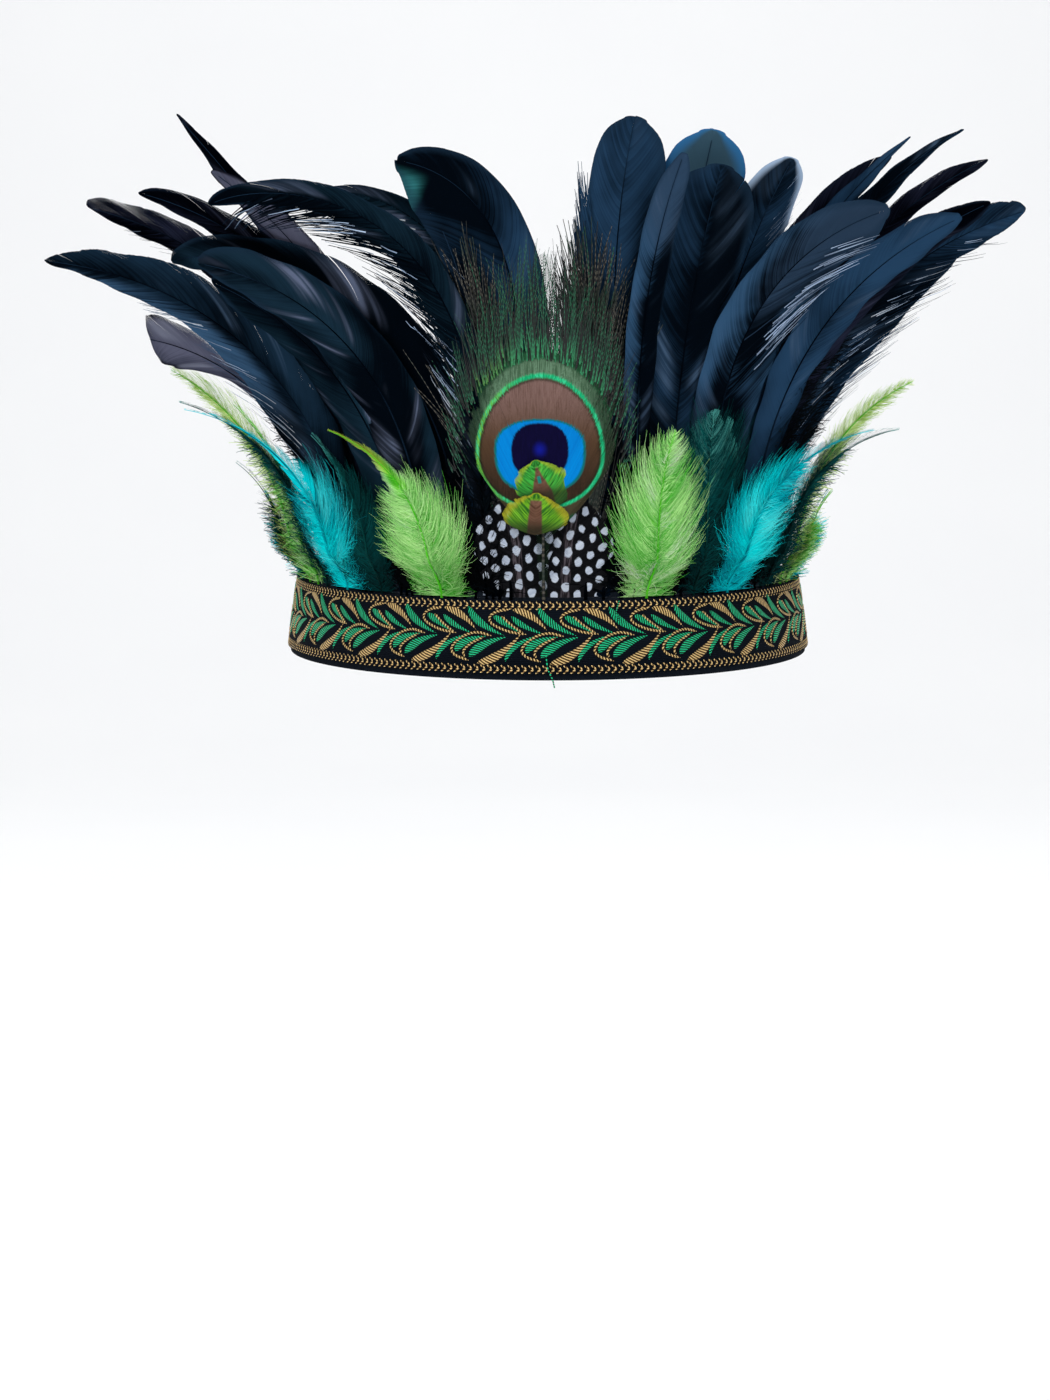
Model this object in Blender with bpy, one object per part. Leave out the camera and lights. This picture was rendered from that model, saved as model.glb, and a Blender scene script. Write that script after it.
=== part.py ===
"""Feather headband: a woven ribbon sewn over a felt backing, with feathers held between the two.

X runs to the wearer's left, Y from the front to the back, and Z is up. The origin is at the centre
of the head opening, level with the band's lower edge.
"""

import math
from collections import namedtuple

import bmesh
import bpy
from mathutils import Vector

# Band: breadth and length over the ribbon at the lower edge, height, and lean of the wall inwards.
BAND_BREADTH = 0.186
BAND_LENGTH = 0.208
BAND_HEIGHT = 0.027
BAND_LEAN = math.radians(8)

# Layers of the band, from outside in.
RIBBON_WALL = 0.0010
CLEARANCE = 0.0003
QUILL_THICKNESS = 0.0009
BACKING_WALL = 0.0015

# The backing shows below the ribbon and, as a thin line, above it.
BACKING_MARGIN_BELOW = 0.0020
BACKING_MARGIN_ABOVE = 0.0005

# Quills run down into the band this far, and the backing is double below them.
QUILL_DEPTH = 0.012
QUILL_WIDTH = 0.0018
VANE_THICKNESS = 0.0007

# Crown surface that the feathers lie on: its lean at the front and at the sides where it has risen
# by FLARE_RISE above the band, and how the lean grows round to the sides and up the crown. It turns
# from the band's lean to its own over FLARE_TURN, of which FLARE_TURN_SHARE is still in the band.
FLARE_FRONT = math.radians(10)
FLARE_SIDE = math.radians(54)
FLARE_SIDE_POWER = 1.5
FLARE_RISE = 0.150
FLARE_RISE_POWER = 0.9
FLARE_TURN = 0.022
FLARE_TURN_SHARE = 0.25

# Layers of feathers on the crown: their pitch, reached over a run-in above the band, and their splay.
LAYER_PITCH = 0.0009
LAYER_SPLAY = 0.0012
LAYER_SPLAY_RISE = 0.100
LAYER_RUN_IN = 0.015

# A feather takes up its sideways lean over this height above the band, and its twist between these
# shares of its length.
FAN_RUN_IN = 0.040
TWIST_START_SHARE = 0.20
TWIST_END_SHARE = 0.75

# Feathers: length above the band, width of the vane, bare share of the length, and number of steps
# along the vane.
Kind = namedtuple("Kind", "length width bare_share stations")
KINDS = {
    "goose": Kind(length=0.160, width=0.030, bare_share=0.09, stations=16),
    "coque": Kind(length=0.180, width=0.012, bare_share=0.10, stations=13),
    "under": Kind(length=0.075, width=0.032, bare_share=0.17, stations=8),
    "peacock": Kind(length=0.118, width=0.052, bare_share=0.20, stations=14),
    "herl": Kind(length=0.130, width=0.018, bare_share=0.25, stations=11),
    "scale": Kind(length=0.048, width=0.024, bare_share=0.66, stations=8),
    "guinea": Kind(length=0.036, width=0.024, bare_share=0.26, stations=9),
    "hackle": Kind(length=0.090, width=0.018, bare_share=0.13, stations=10),
}

# Half width along the vane, as shares of the run along the vane and of the vane's half width.
OUTLINES = {
    "round": (
        (0, 0.20), (0.08, 0.62), (0.22, 0.85), (0.5, 0.97), (0.75, 1.0), (0.87, 0.95), (0.94, 0.77),
        (0.98, 0.50), (1, 0.22),
    ),
    "blunt": (
        (0, 0.20), (0.08, 0.62), (0.22, 0.85), (0.5, 0.93), (0.8, 1.0), (0.91, 0.95), (0.96, 0.79),
        (0.985, 0.58), (1, 0.30),
    ),
    "taper": (
        (0, 0.20), (0.08, 0.62), (0.22, 0.85), (0.5, 1.0), (0.7, 0.9), (0.85, 0.6), (0.95, 0.28), (1, 0.06),
    ),
    "blade": (
        (0, 0.15), (0.1, 0.5), (0.3, 0.85), (0.55, 1.0), (0.8, 0.97), (0.92, 0.8), (0.98, 0.45), (1, 0.12),
    ),
    "paddle": (
        (0, 0.10), (0.3, 0.16), (0.5, 0.28), (0.62, 0.62), (0.74, 0.95), (0.85, 1.0), (0.94, 0.85), (0.98, 0.6),
        (1, 0.3),
    ),
    "point": (
        (0, 0.15), (0.1, 0.5), (0.3, 0.9), (0.5, 1.0), (0.7, 0.85), (0.85, 0.55), (0.95, 0.22), (1, 0.06),
    ),
    "plume": (
        (0, 0.35), (0.1, 0.85), (0.25, 1.0), (0.45, 0.9), (0.6, 0.55), (0.75, 0.22), (0.9, 0.12), (1, 0.05),
    ),
    "leaf": ((0, 0.35), (0.1, 0.75), (0.3, 1.0), (0.55, 0.95), (0.75, 0.7), (0.9, 0.35), (1, 0.06)),
    "eye": ((0, 0.1), (0.1, 0.45), (0.28, 0.95), (0.42, 1.0), (0.6, 0.85), (0.8, 0.55), (1, 0.1)),
    "spade": ((0, 0.2), (0.12, 0.7), (0.35, 1.0), (0.65, 0.95), (0.85, 0.7), (0.95, 0.4), (1, 0.12)),
    "dome": ((0, 0.3), (0.2, 0.9), (0.45, 1.0), (0.7, 0.85), (0.9, 0.5), (1, 0.15)),
}

# Points round a feather's section, from its left edge: side as a share of the half width, and proud
# as a share of the half thickness.
Corner = namedtuple("Corner", "side proud")
LENS = (
    Corner(side=-1, proud=0),
    Corner(side=-0.5, proud=1),
    Corner(side=0.5, proud=1),
    Corner(side=1, proud=0),
    Corner(side=0.5, proud=-1),
    Corner(side=-0.5, proud=-1),
)

# Feathers, one row each. Azimuth, fan, bow and lift are in degrees: azimuth is the place on the band
# from the centre front, fan the sideways lean near the band, bow the further sideways lean at the tip,
# gathered by a power of the run, and lift the further outward lean at the tip. Length and width are
# shares of the kind's own, skew is the left half's share of the half width, and twist is how far the
# vane turns about its shaft to face the front.
Feather = namedtuple("Feather", "name kind dye azimuth length width fan bow power lift layer outline skew twist")
FEATHERS = [Feather(*row) for row in (
    ("goose_left_1", "goose", "black", -11, 1.04, 1.04, 10, -84, 3.2, 0, 3, "round", 1.3, 0),
    ("goose_left_2", "goose", "black", -19, 1.18, 0.95, -2, -98, 1.5, 0, 2, "taper", 1.0, 0),
    ("goose_left_3", "goose", "black", -27, 0.95, 0.87, -2, -65, 1.7, 0, 5, "round", 1.0, 0),
    ("goose_left_4", "goose", "black", -32, 0.84, 0.87, -8, -45, 1.6, 0, 4, "round", 1.1, 0),
    ("coque_left_1", "coque", "black", -14, 1.10, 1.10, 2, -105, 2.4, 0, 5, "blade", 1.0, 0),
    ("coque_left_2", "coque", "black", -16.5, 1.00, 1.00, 10, -125, 2.7, 0, 1, "point", 1.0, 0),
    ("coque_left_3", "coque", "black", -21.5, 1.04, 0.95, -31.5, 29.0, 1.6, 0, -1, "taper", 1.0, 14),
    ("coque_left_4", "coque", "grey", -29.5, 0.91, 1.10, -8, -18, 1.5, 0, 1, "round", 1.0, 0),
    ("coque_left_5", "coque", "black", -35, 0.98, 1.15, -3, -60, 1.8, 0, 0, "blade", 1.0, 8),
    ("coque_left_6", "coque", "black", -43.8, 1.06, 1.45, -4, -70, 1.8, 0, 1, "blade", 1.0, 12),
    ("coque_left_7", "coque", "black", -47, 1.05, 1.65, -9, -58, 1.7, 10, 5, "taper", 0.95, 30),
    ("coque_left_8", "coque", "grey", -56, 0.81, 1.75, -8, -95, 2.2, 44, 3, "paddle", 1.0, 25),
    ("goose_right_1", "goose", "black", 16, 1.02, 0.84, -7, 13, 1.8, 0, 2, "blunt", 0.9, 0),
    ("goose_right_2", "goose", "black", 19, 0.98, 0.37, -6, 14, 1.6, 0, 5, "round", 1.0, 0),
    ("goose_right_3", "goose", "black", 24.6, 1.00, 0.98, 0, 0, 1.6, 0, 1, "blunt", 1.0, 0),
    ("goose_right_4", "goose", "black", 26.2, 0.95, 1.02, -2, 1, 1.6, 0, 4, "blunt", 1.0, 0),
    ("goose_right_5", "goose", "black", 30.6, 0.98, 0.66, 2, 3, 1.6, 0, 2, "blunt", 1.0, 0),
    ("goose_right_6", "goose", "black", 36.6, 0.99, 1.00, -9.5, 56, 2.1, 0, 5, "blunt", 0.8, 0),
    ("goose_right_7", "goose", "black", 49, 0.99, 0.66, -5, 35, 1.6, 0, 4, "round", 1.0, 14),
    ("coque_right_1", "coque", "black", 39.3, 0.92, 0.95, -6, 36, 1.6, 0, 0, "blade", 1.0, 15),
    ("coque_right_2", "coque", "black", 41.8, 0.97, 0.95, -2, 18, 1.6, 0, 1, "point", 1.0, 12),
    ("coque_right_3", "coque", "black", 46.5, 1.04, 1.10, -4, 19, 1.6, 0, 2, "point", 1.0, 12),
    ("coque_right_4", "coque", "black", 51.5, 0.97, 0.95, -4, 41, 1.6, 0, -1, "blade", 1.0, 16),
    ("coque_right_5", "coque", "black", 54, 0.92, 1.10, -4, 30, 1.6, 0, 3, "blade", 1.0, 35),
    ("coque_right_6", "coque", "black", 56.5, 1.00, 1.55, -2, 64, 2.0, 0, 2, "blade", 1.0, 34),
    ("coque_right_7", "coque", "black", 63, 0.80, 1.60, 1, 38, 1.6, 0, 1, "blade", 1.0, 40),
    ("under_left_1", "under", "black", -12.5, 0.90, 0.90, -4, -4, 1.0, 0, -1, "spade", 1.0, 0),
    ("under_left_2", "under", "black", -23, 1.00, 1.00, 0, -8, 1.0, 0, -3, "spade", 1.0, 0),
    ("under_left_3", "under", "black", -33.5, 1.00, 1.00, 0, -12, 1.0, 0, -2, "spade", 1.0, 0),
    ("under_left_4", "under", "black", -45.5, 1.00, 1.00, 0, -16, 1.0, 0, -3, "spade", 1.0, 0),
    ("under_right_1", "under", "black", 12, 0.90, 0.90, 0, 4, 1.0, 0, -1, "spade", 1.0, 0),
    ("under_right_2", "under", "black", 28.9, 1.00, 1.00, 0, 8, 1.0, 0, -2, "spade", 1.0, 0),
    ("under_right_3", "under", "black", 37.9, 1.00, 1.00, 0, 12, 1.0, 0, -3, "spade", 1.0, 0),
    ("under_right_4", "under", "black", 61.2, 1.00, 1.00, 0, 12, 1.0, 0, -2, "spade", 1.0, 0),
    ("peacock_eye", "peacock", "peacock", -1.3, 1.00, 1.00, 0, 0, 1.0, 0, 8, "eye", 1.0, 0),
    ("herl_left", "herl", "herl", -8.5, 1.00, 1.00, -4, -10, 1.5, 0, 4, "plume", 1.0, 0),
    ("herl_right", "herl", "herl", 8, 1.00, 0.80, 0, -4, 1.5, 0, 3, "plume", 1.0, 0),
    ("scale_upper", "scale", "scale", 0.6, 1.00, 0.95, -12, 0, 1.0, 0, 9, "dome", 1.0, 0),
    ("scale_lower", "scale", "scale", -3.2, 0.76, 1.00, 4, 0, 1.0, 0, 10, "dome", 1.0, 0),
    ("guinea_left", "guinea", "guinea", -6.5, 1.00, 1.10, -14, 0, 1.0, 0, 6, "leaf", 1.0, 0),
    ("guinea_right", "guinea", "guinea", 3.5, 1.00, 1.10, 14, 0, 1.0, 0, 5, "leaf", 1.0, 0),
    ("lime_left", "hackle", "lime", -24.5, 0.83, 1.67, 0, -72, 1.3, 0, 9, "plume", 1.0, 0),
    ("lime_right", "hackle", "lime", 22, 0.66, 1.58, -5, 18, 2.0, 0, 9, "leaf", 1.0, 0),
    ("lime_side_left", "hackle", "lime", -66, 0.80, 0.80, -3, -10, 1.5, 12, 6, "plume", 1.0, 0),
    ("lime_far_left", "hackle", "lime", -72, 1.11, 0.90, -5, -40, 1.5, 20, 7, "taper", 1.0, 24),
    ("lime_side_right", "hackle", "lime", 72, 0.40, 1.00, 0, 10, 1.5, 25, 7, "plume", 1.0, 0),
    ("lime_far_right", "hackle", "lime", 67, 1.04, 0.90, 0, 50, 1.5, 25, 6, "taper", 1.0, 35),
    ("teal_left", "hackle", "teal", -40.5, 0.69, 1.10, 0, -45, 1.5, 0, 7, "plume", 1.0, 0),
    ("teal_right", "hackle", "teal", 34, 0.73, 1.20, -4, -4, 1.5, 0, 7, "round", 1.0, 0),
    ("teal_side_left", "hackle", "teal", -76, 0.55, 0.70, -3, -20, 1.5, 30, 8, "plume", 1.0, 0),
    ("teal_far_left", "hackle", "teal", -61, 1.15, 0.67, -5, -70, 1.3, 45, 7, "plume", 1.0, 0),
    ("teal_far_right", "hackle", "teal", 59.5, 0.95, 0.78, 0, 75, 1.4, 55, 7, "plume", 1.0, 0),
    ("turquoise_left", "hackle", "turquoise", -52, 1.13, 1.00, 0, -75, 1.1, 45, 8, "plume", 1.0, 0),
    ("turquoise_far_left", "hackle", "turquoise", -81, 0.38, 1.10, 0, -10, 1.2, 15, 7, "plume", 1.0, 0),
    ("turquoise_right", "hackle", "turquoise", 44, 1.04, 1.22, 0, 88, 1.1, 42, 8, "plume", 1.0, 0),
    ("turquoise_far_right", "hackle", "turquoise", 78, 0.38, 1.10, 0, 10, 1.2, 15, 6, "plume", 1.0, 0),
)]

# Colours as red, green and blue, with roughness.
Finish = namedtuple("Finish", "colour roughness")
FINISHES = {
    "felt_black": Finish((0.012, 0.013, 0.016), 0.95),
    "ribbon": Finish((0.020, 0.060, 0.040), 0.70),
    "black": Finish((0.008, 0.012, 0.022), 0.40),
    "grey": Finish((0.060, 0.065, 0.085), 0.50),
    "peacock": Finish((0.050, 0.200, 0.080), 0.35),
    "herl": Finish((0.050, 0.060, 0.030), 0.50),
    "scale": Finish((0.220, 0.330, 0.030), 0.40),
    "guinea": Finish((0.060, 0.050, 0.055), 0.60),
    "lime": Finish((0.420, 0.700, 0.090), 0.60),
    "teal": Finish((0.004, 0.110, 0.120), 0.60),
    "turquoise": Finish((0.000, 0.420, 0.520), 0.60),
}

# Steps round the band, along a feather's centre line, and along and round the crown, which is worked
# out to RISE_LIMIT_SHARE times FLARE_RISE. Edges of the band sharper than SHARP_EDGE are shaded sharp.
BAND_SEGMENTS = 76
SHARP_EDGE = math.radians(40)
WALK_STEPS = 60
RISE_STEPS = 110
RISE_LIMIT_SHARE = 1.4
AZIMUTH_STEP = math.radians(1.2)

# Spacing of a bare quill's sections, crowding of a vane's sections to its tip, and thinning there.
QUILL_STEP = 0.008
TIP_CROWDING_POWER = 1.25
TIP_THINNING_SHARE = 0.35

# Depth of the quills' middle plane below the ribbon's outer face, and the crown's own step and top.
QUILL_PLANE = RIBBON_WALL + CLEARANCE + QUILL_THICKNESS / 2
CROWN_TOP = RISE_LIMIT_SHARE * FLARE_RISE + BAND_HEIGHT
RISE_STEP = CROWN_TOP / RISE_STEPS


def smooth(share):
    """Rises from 0 to 1 with level ends."""
    share = min(max(share, 0.0), 1.0)
    return share * share * (3 - 2 * share)


def read_table(table, share):
    """Value of a table of (share, value) rows between its rows."""
    for (start, low), (end, high) in zip(table, table[1:]):
        if share <= end:
            return low + (high - low) * (share - start) / (end - start)
    return table[-1][1]


def outward(azimuth):
    """Level direction out of the band at an azimuth."""
    return Vector((math.sin(azimuth) / BAND_BREADTH, -math.cos(azimuth) / BAND_LENGTH, 0)).normalized()


def band_point(azimuth, depth, height):
    """Point of the band's wall: depth is level, inwards from the ribbon's outer face."""
    edge = Vector((math.sin(azimuth) * BAND_BREADTH / 2, -math.cos(azimuth) * BAND_LENGTH / 2, height))
    return edge - outward(azimuth) * (depth + height * math.tan(BAND_LEAN))


def crown_profile(azimuth):
    """Rows of (rise along the crown, lean, run outwards, height) from the band's lower edge."""
    side = abs(math.sin(azimuth)) ** FLARE_SIDE_POWER
    flare = FLARE_FRONT + (FLARE_SIDE - FLARE_FRONT) * side
    rows = []
    run = height = 0.0
    for index in range(RISE_STEPS + 1):
        rise = index * RISE_STEP
        turn = smooth((rise - BAND_HEIGHT) / FLARE_TURN + FLARE_TURN_SHARE)
        share = max(rise - BAND_HEIGHT, 0.0) / FLARE_RISE
        lean = -BAND_LEAN + turn * (BAND_LEAN + flare * share ** FLARE_RISE_POWER)
        if rows:
            mid = (lean + rows[-1][1]) / 2
            run += RISE_STEP * math.sin(mid)
            height += RISE_STEP * math.cos(mid)
        rows.append((rise, lean, run, height))
    return rows


PROFILES = {}


def cached_profile(key):
    """Profile at a whole number of azimuth steps, worked out once."""
    if key not in PROFILES:
        PROFILES[key] = crown_profile(key * AZIMUTH_STEP)
    return PROFILES[key]


def crown_row(azimuth, rise):
    """Lean, run outwards and height of the crown surface at an azimuth and a rise along it."""
    turn = azimuth / AZIMUTH_STEP
    key = math.floor(turn)
    index = min(int(rise / RISE_STEP), RISE_STEPS - 1)
    up = rise / RISE_STEP - index
    across = turn - key
    values = []
    for column in (1, 2, 3):
        corners = [
            profile[index][column] * (1 - up) + profile[index + 1][column] * up
            for profile in (cached_profile(key), cached_profile(key + 1))
        ]
        values.append(corners[0] * (1 - across) + corners[1] * across)
    return values


def crown_point(azimuth, rise, layer, proud=0.0):
    """Point of a layer of the crown surface, or proud of it by a distance."""
    lean, run, height = crown_row(azimuth, rise)
    above = max(rise - BAND_HEIGHT, 0.0)
    pitch = LAYER_PITCH * smooth(above / LAYER_RUN_IN) + LAYER_SPLAY * (above / LAYER_SPLAY_RISE) ** 2
    offset = layer * pitch + proud
    place = band_point(azimuth, QUILL_PLANE, 0.0) + outward(azimuth) * (run + offset * math.cos(lean))
    place.z += height - offset * math.sin(lean)
    return place


def arc_length(azimuth, rise, layer):
    """Distance along a layer for each radian of azimuth."""
    ends = [crown_point(azimuth + turn, rise, layer) for turn in (-AZIMUTH_STEP, AZIMUTH_STEP)]
    return (ends[1] - ends[0]).length / (2 * AZIMUTH_STEP)


# Place on a feather's centre line: curl is how far the feather has lifted off the crown there.
Place = namedtuple("Place", "run azimuth rise heading twist curl")


def walk(feather):
    """Centre line of a feather from the foot of its quill to its tip; run counts from the band's top."""
    length = KINDS[feather.kind].length * feather.length
    step = (length + QUILL_DEPTH) / WALK_STEPS
    azimuth = math.radians(feather.azimuth)
    rise = BAND_HEIGHT - QUILL_DEPTH
    curl = Vector((0, 0, 0))
    line = []
    for index in range(WALK_STEPS + 1):
        run = index * step - QUILL_DEPTH
        share = max(run, 0.0) / length
        fan = math.radians(feather.fan) * smooth(max(run, 0.0) / FAN_RUN_IN)
        heading = fan + math.radians(feather.bow) * share ** feather.power
        turned = smooth((share - TWIST_START_SHARE) / (TWIST_END_SHARE - TWIST_START_SHARE))
        twist = math.copysign(math.radians(feather.twist), feather.azimuth) * turned
        line.append(Place(run, azimuth, rise, heading, twist, curl.copy()))
        lean = crown_row(azimuth, rise)[0]
        lifted = lean + math.radians(feather.lift) * share ** 2
        along = step * math.cos(heading)
        curl += outward(azimuth) * (along * (math.sin(lifted) - math.sin(lean)))
        curl.z += along * (math.cos(lifted) - math.cos(lean))
        azimuth += step * math.sin(heading) / arc_length(azimuth, rise, feather.layer)
        rise += along
    return line


def place_at(line, run):
    """Place on a centre line at a run from the band's top."""
    step = line[1].run - line[0].run
    index = min(int((run - line[0].run) / step), len(line) - 2)
    share = (run - line[index].run) / step
    low, high = line[index], line[index + 1]
    return Place(*[a + (b - a) * share for a, b in zip(low, high)])


def section(feather, place, half_width, half_thickness):
    """Points round a feather at one place, thin at both edges of the vane."""
    arc = arc_length(place.azimuth, place.rise, feather.layer)
    points = []
    for corner in LENS:
        skew = feather.skew if corner.side < 0 else 2 - feather.skew
        side = corner.side * half_width * skew
        thick = corner.proud * half_thickness
        across = side * math.cos(place.twist) - thick * math.sin(place.twist)
        proud = side * math.sin(place.twist) + thick * math.cos(place.twist)
        azimuth = place.azimuth + across * math.cos(place.heading) / arc
        rise = place.rise - across * math.sin(place.heading)
        points.append(crown_point(azimuth, rise, feather.layer, proud) + place.curl)
    return points


def feather_sections(feather):
    """Sections of a feather from the foot of its quill to its tip."""
    kind = KINDS[feather.kind]
    length = kind.length * feather.length
    width = kind.width * feather.width
    bare = kind.bare_share * length
    line = walk(feather)
    rows = []
    quill_steps = max(2, round(bare / QUILL_STEP))
    for run in [-QUILL_DEPTH] + [bare * index / quill_steps for index in range(quill_steps)]:
        rows.append(section(feather, place_at(line, run), QUILL_WIDTH / 2, QUILL_THICKNESS / 2))
    for index in range(kind.stations + 1):
        share = 1 - (1 - index / kind.stations) ** TIP_CROWDING_POWER
        half = width / 2 * read_table(OUTLINES[feather.outline], share)
        thickness = VANE_THICKNESS / 2 * (1 - TIP_THINNING_SHARE * share)
        rows.append(section(feather, place_at(line, bare + (length - bare) * share), half, thickness))
    return rows


def skin(name, rings, closed, finish):
    """Object skinned over rings of points; a closed one joins its last ring to its first."""
    mesh = bmesh.new()
    loops = [[mesh.verts.new(point) for point in ring] for ring in rings]
    pairs = list(zip(loops, loops[1:]))
    if closed:
        pairs.append((loops[-1], loops[0]))
    else:
        mesh.faces.new(loops[0])
        mesh.faces.new(loops[-1])
    for low, high in pairs:
        for index in range(len(low)):
            after = (index + 1) % len(low)
            mesh.faces.new((low[index], low[after], high[after], high[index]))
    bmesh.ops.recalc_face_normals(mesh, faces=mesh.faces[:])
    data = bpy.data.meshes.new(name)
    mesh.to_mesh(data)
    mesh.free()
    data.materials.append(material(finish))
    data.shade_smooth()
    piece = bpy.data.objects.new(name, data)
    bpy.context.scene.collection.objects.link(piece)
    return piece


def material(finish):
    """Principled material of a finish, made once."""
    if finish in bpy.data.materials:
        return bpy.data.materials[finish]
    made = bpy.data.materials.new(finish)
    made.use_nodes = True
    shader = made.node_tree.nodes["Principled BSDF"]
    shader.inputs["Base Color"].default_value = (*FINISHES[finish].colour, 1)
    shader.inputs["Roughness"].default_value = FINISHES[finish].roughness
    return made


def wall(name, corners, finish):
    """Closed loop round the head with a section given by (depth, height) corners."""
    rings = [
        [band_point(2 * math.pi * index / BAND_SEGMENTS, depth, height) for depth, height in corners]
        for index in range(BAND_SEGMENTS)
    ]
    piece = skin(name, rings, True, finish)
    piece.data.set_sharp_from_angle(angle=SHARP_EDGE)
    return piece


def backing_band():
    """Felt backing: double below the quills, single behind them."""
    seat = RIBBON_WALL + CLEARANCE
    pocket = seat + QUILL_THICKNESS + CLEARANCE
    inside = pocket + BACKING_WALL
    shelf = BAND_HEIGHT - QUILL_DEPTH - CLEARANCE
    outer = ((seat, 0), (seat, shelf), (pocket, shelf), (pocket, BAND_HEIGHT))
    inner = ((inside, BAND_HEIGHT), (inside, 0))
    return wall("backing_band", outer + inner, "felt_black")


def ribbon_band():
    """Woven ribbon round the outside of the backing."""
    low = BACKING_MARGIN_BELOW
    high = BAND_HEIGHT - BACKING_MARGIN_ABOVE
    corners = ((0, low), (0, high), (RIBBON_WALL, high), (RIBBON_WALL, low))
    return wall("ribbon_band", corners, "ribbon")


def main():
    """Clears the scene and builds every piece."""
    for old in list(bpy.data.objects):
        bpy.data.objects.remove(old, do_unlink=True)
    backing_band()
    ribbon_band()
    for feather in FEATHERS:
        skin(feather.name, feather_sections(feather), False, feather.dye)


main()
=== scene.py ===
"""Looks of the feather headband: every barb of the feathers, the woven ribbon and its felt backing."""

import math
from collections import namedtuple

import bpy
import numpy as np
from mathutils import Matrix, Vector


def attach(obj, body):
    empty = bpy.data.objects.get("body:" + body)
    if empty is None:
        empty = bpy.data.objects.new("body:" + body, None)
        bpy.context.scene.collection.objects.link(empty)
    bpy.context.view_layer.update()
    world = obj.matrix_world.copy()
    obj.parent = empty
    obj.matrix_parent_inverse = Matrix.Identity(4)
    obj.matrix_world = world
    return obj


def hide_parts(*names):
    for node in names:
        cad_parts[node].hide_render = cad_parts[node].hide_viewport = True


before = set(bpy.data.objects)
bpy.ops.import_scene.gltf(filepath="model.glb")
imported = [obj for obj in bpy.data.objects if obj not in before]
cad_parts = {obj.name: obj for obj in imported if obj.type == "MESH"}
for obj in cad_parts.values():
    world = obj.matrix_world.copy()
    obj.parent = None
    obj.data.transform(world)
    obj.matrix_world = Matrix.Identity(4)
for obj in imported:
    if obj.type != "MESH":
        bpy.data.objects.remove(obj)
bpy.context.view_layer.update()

# Camera: level angle of the view, distance to the target, and the target in front of the band.
VIEW_DOWN = math.radians(7)
VIEW_DISTANCE = 1.4
TARGET = Vector((-0.00817, -0.104, -0.00638))
SENSOR = 36.0
IMAGE_HEIGHT = 1400
PIXELS_PER_METRE = 3000

camera_data = bpy.data.cameras.new("camera")
camera_data.sensor_width = SENSOR
camera_data.lens = SENSOR * VIEW_DISTANCE / (IMAGE_HEIGHT / PIXELS_PER_METRE)
camera = bpy.data.objects.new("camera", camera_data)
bpy.context.scene.collection.objects.link(camera)
camera.location = TARGET + VIEW_DISTANCE * Vector((0, -math.cos(VIEW_DOWN), math.sin(VIEW_DOWN)))
camera.rotation_euler = (math.pi / 2 - VIEW_DOWN, 0, 0)
bpy.context.scene.camera = camera

# Sizes of the band and of the crown surface that the feathers lie on, in metres and radians, the same
# as those of the solids.
BAND_BREADTH = 0.186
BAND_LENGTH = 0.208
BAND_HEIGHT = 0.027
BAND_LEAN = math.radians(8)
RIBBON_WALL = 0.001
CLEARANCE = 0.0003
QUILL_THICKNESS = 0.0009
BACKING_WALL = 0.0015
BACKING_MARGIN_BELOW = 0.002
BACKING_MARGIN_ABOVE = 0.0005
QUILL_DEPTH = 0.012
FLARE_FRONT = math.radians(10)
FLARE_SIDE = math.radians(54)
FLARE_SIDE_POWER = 1.5
FLARE_RISE = 0.15
FLARE_RISE_POWER = 0.9
FLARE_TURN = 0.022
FLARE_TURN_SHARE = 0.25
LAYER_PITCH = 0.0009
LAYER_SPLAY = 0.0012
LAYER_SPLAY_RISE = 0.1
LAYER_RUN_IN = 0.015
FAN_RUN_IN = 0.04
TWIST_START_SHARE = 0.2
TWIST_END_SHARE = 0.75
QUILL_PLANE = RIBBON_WALL + CLEARANCE + QUILL_THICKNESS / 2
RISE_STEP = 0.002
AZIMUTH_STEP = math.radians(1)
AZIMUTH_LIMIT = 130
RISE_LIMIT = 0.26
ARC_TURN = 0.02

# Kinds of feather: length and width of the usual one in metres, and the share that is bare quill.
Kind = namedtuple("Kind", "length width bare_share")
KINDS = {
    "goose": Kind(0.16, 0.03, 0.09),
    "coque": Kind(0.18, 0.012, 0.1),
    "under": Kind(0.075, 0.032, 0.17),
    "peacock": Kind(0.118, 0.052, 0.2),
    "herl": Kind(0.13, 0.018, 0.25),
    "scale": Kind(0.048, 0.024, 0.66),
    "guinea": Kind(0.036, 0.024, 0.26),
    "hackle": Kind(0.09, 0.018, 0.13),
}

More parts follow.
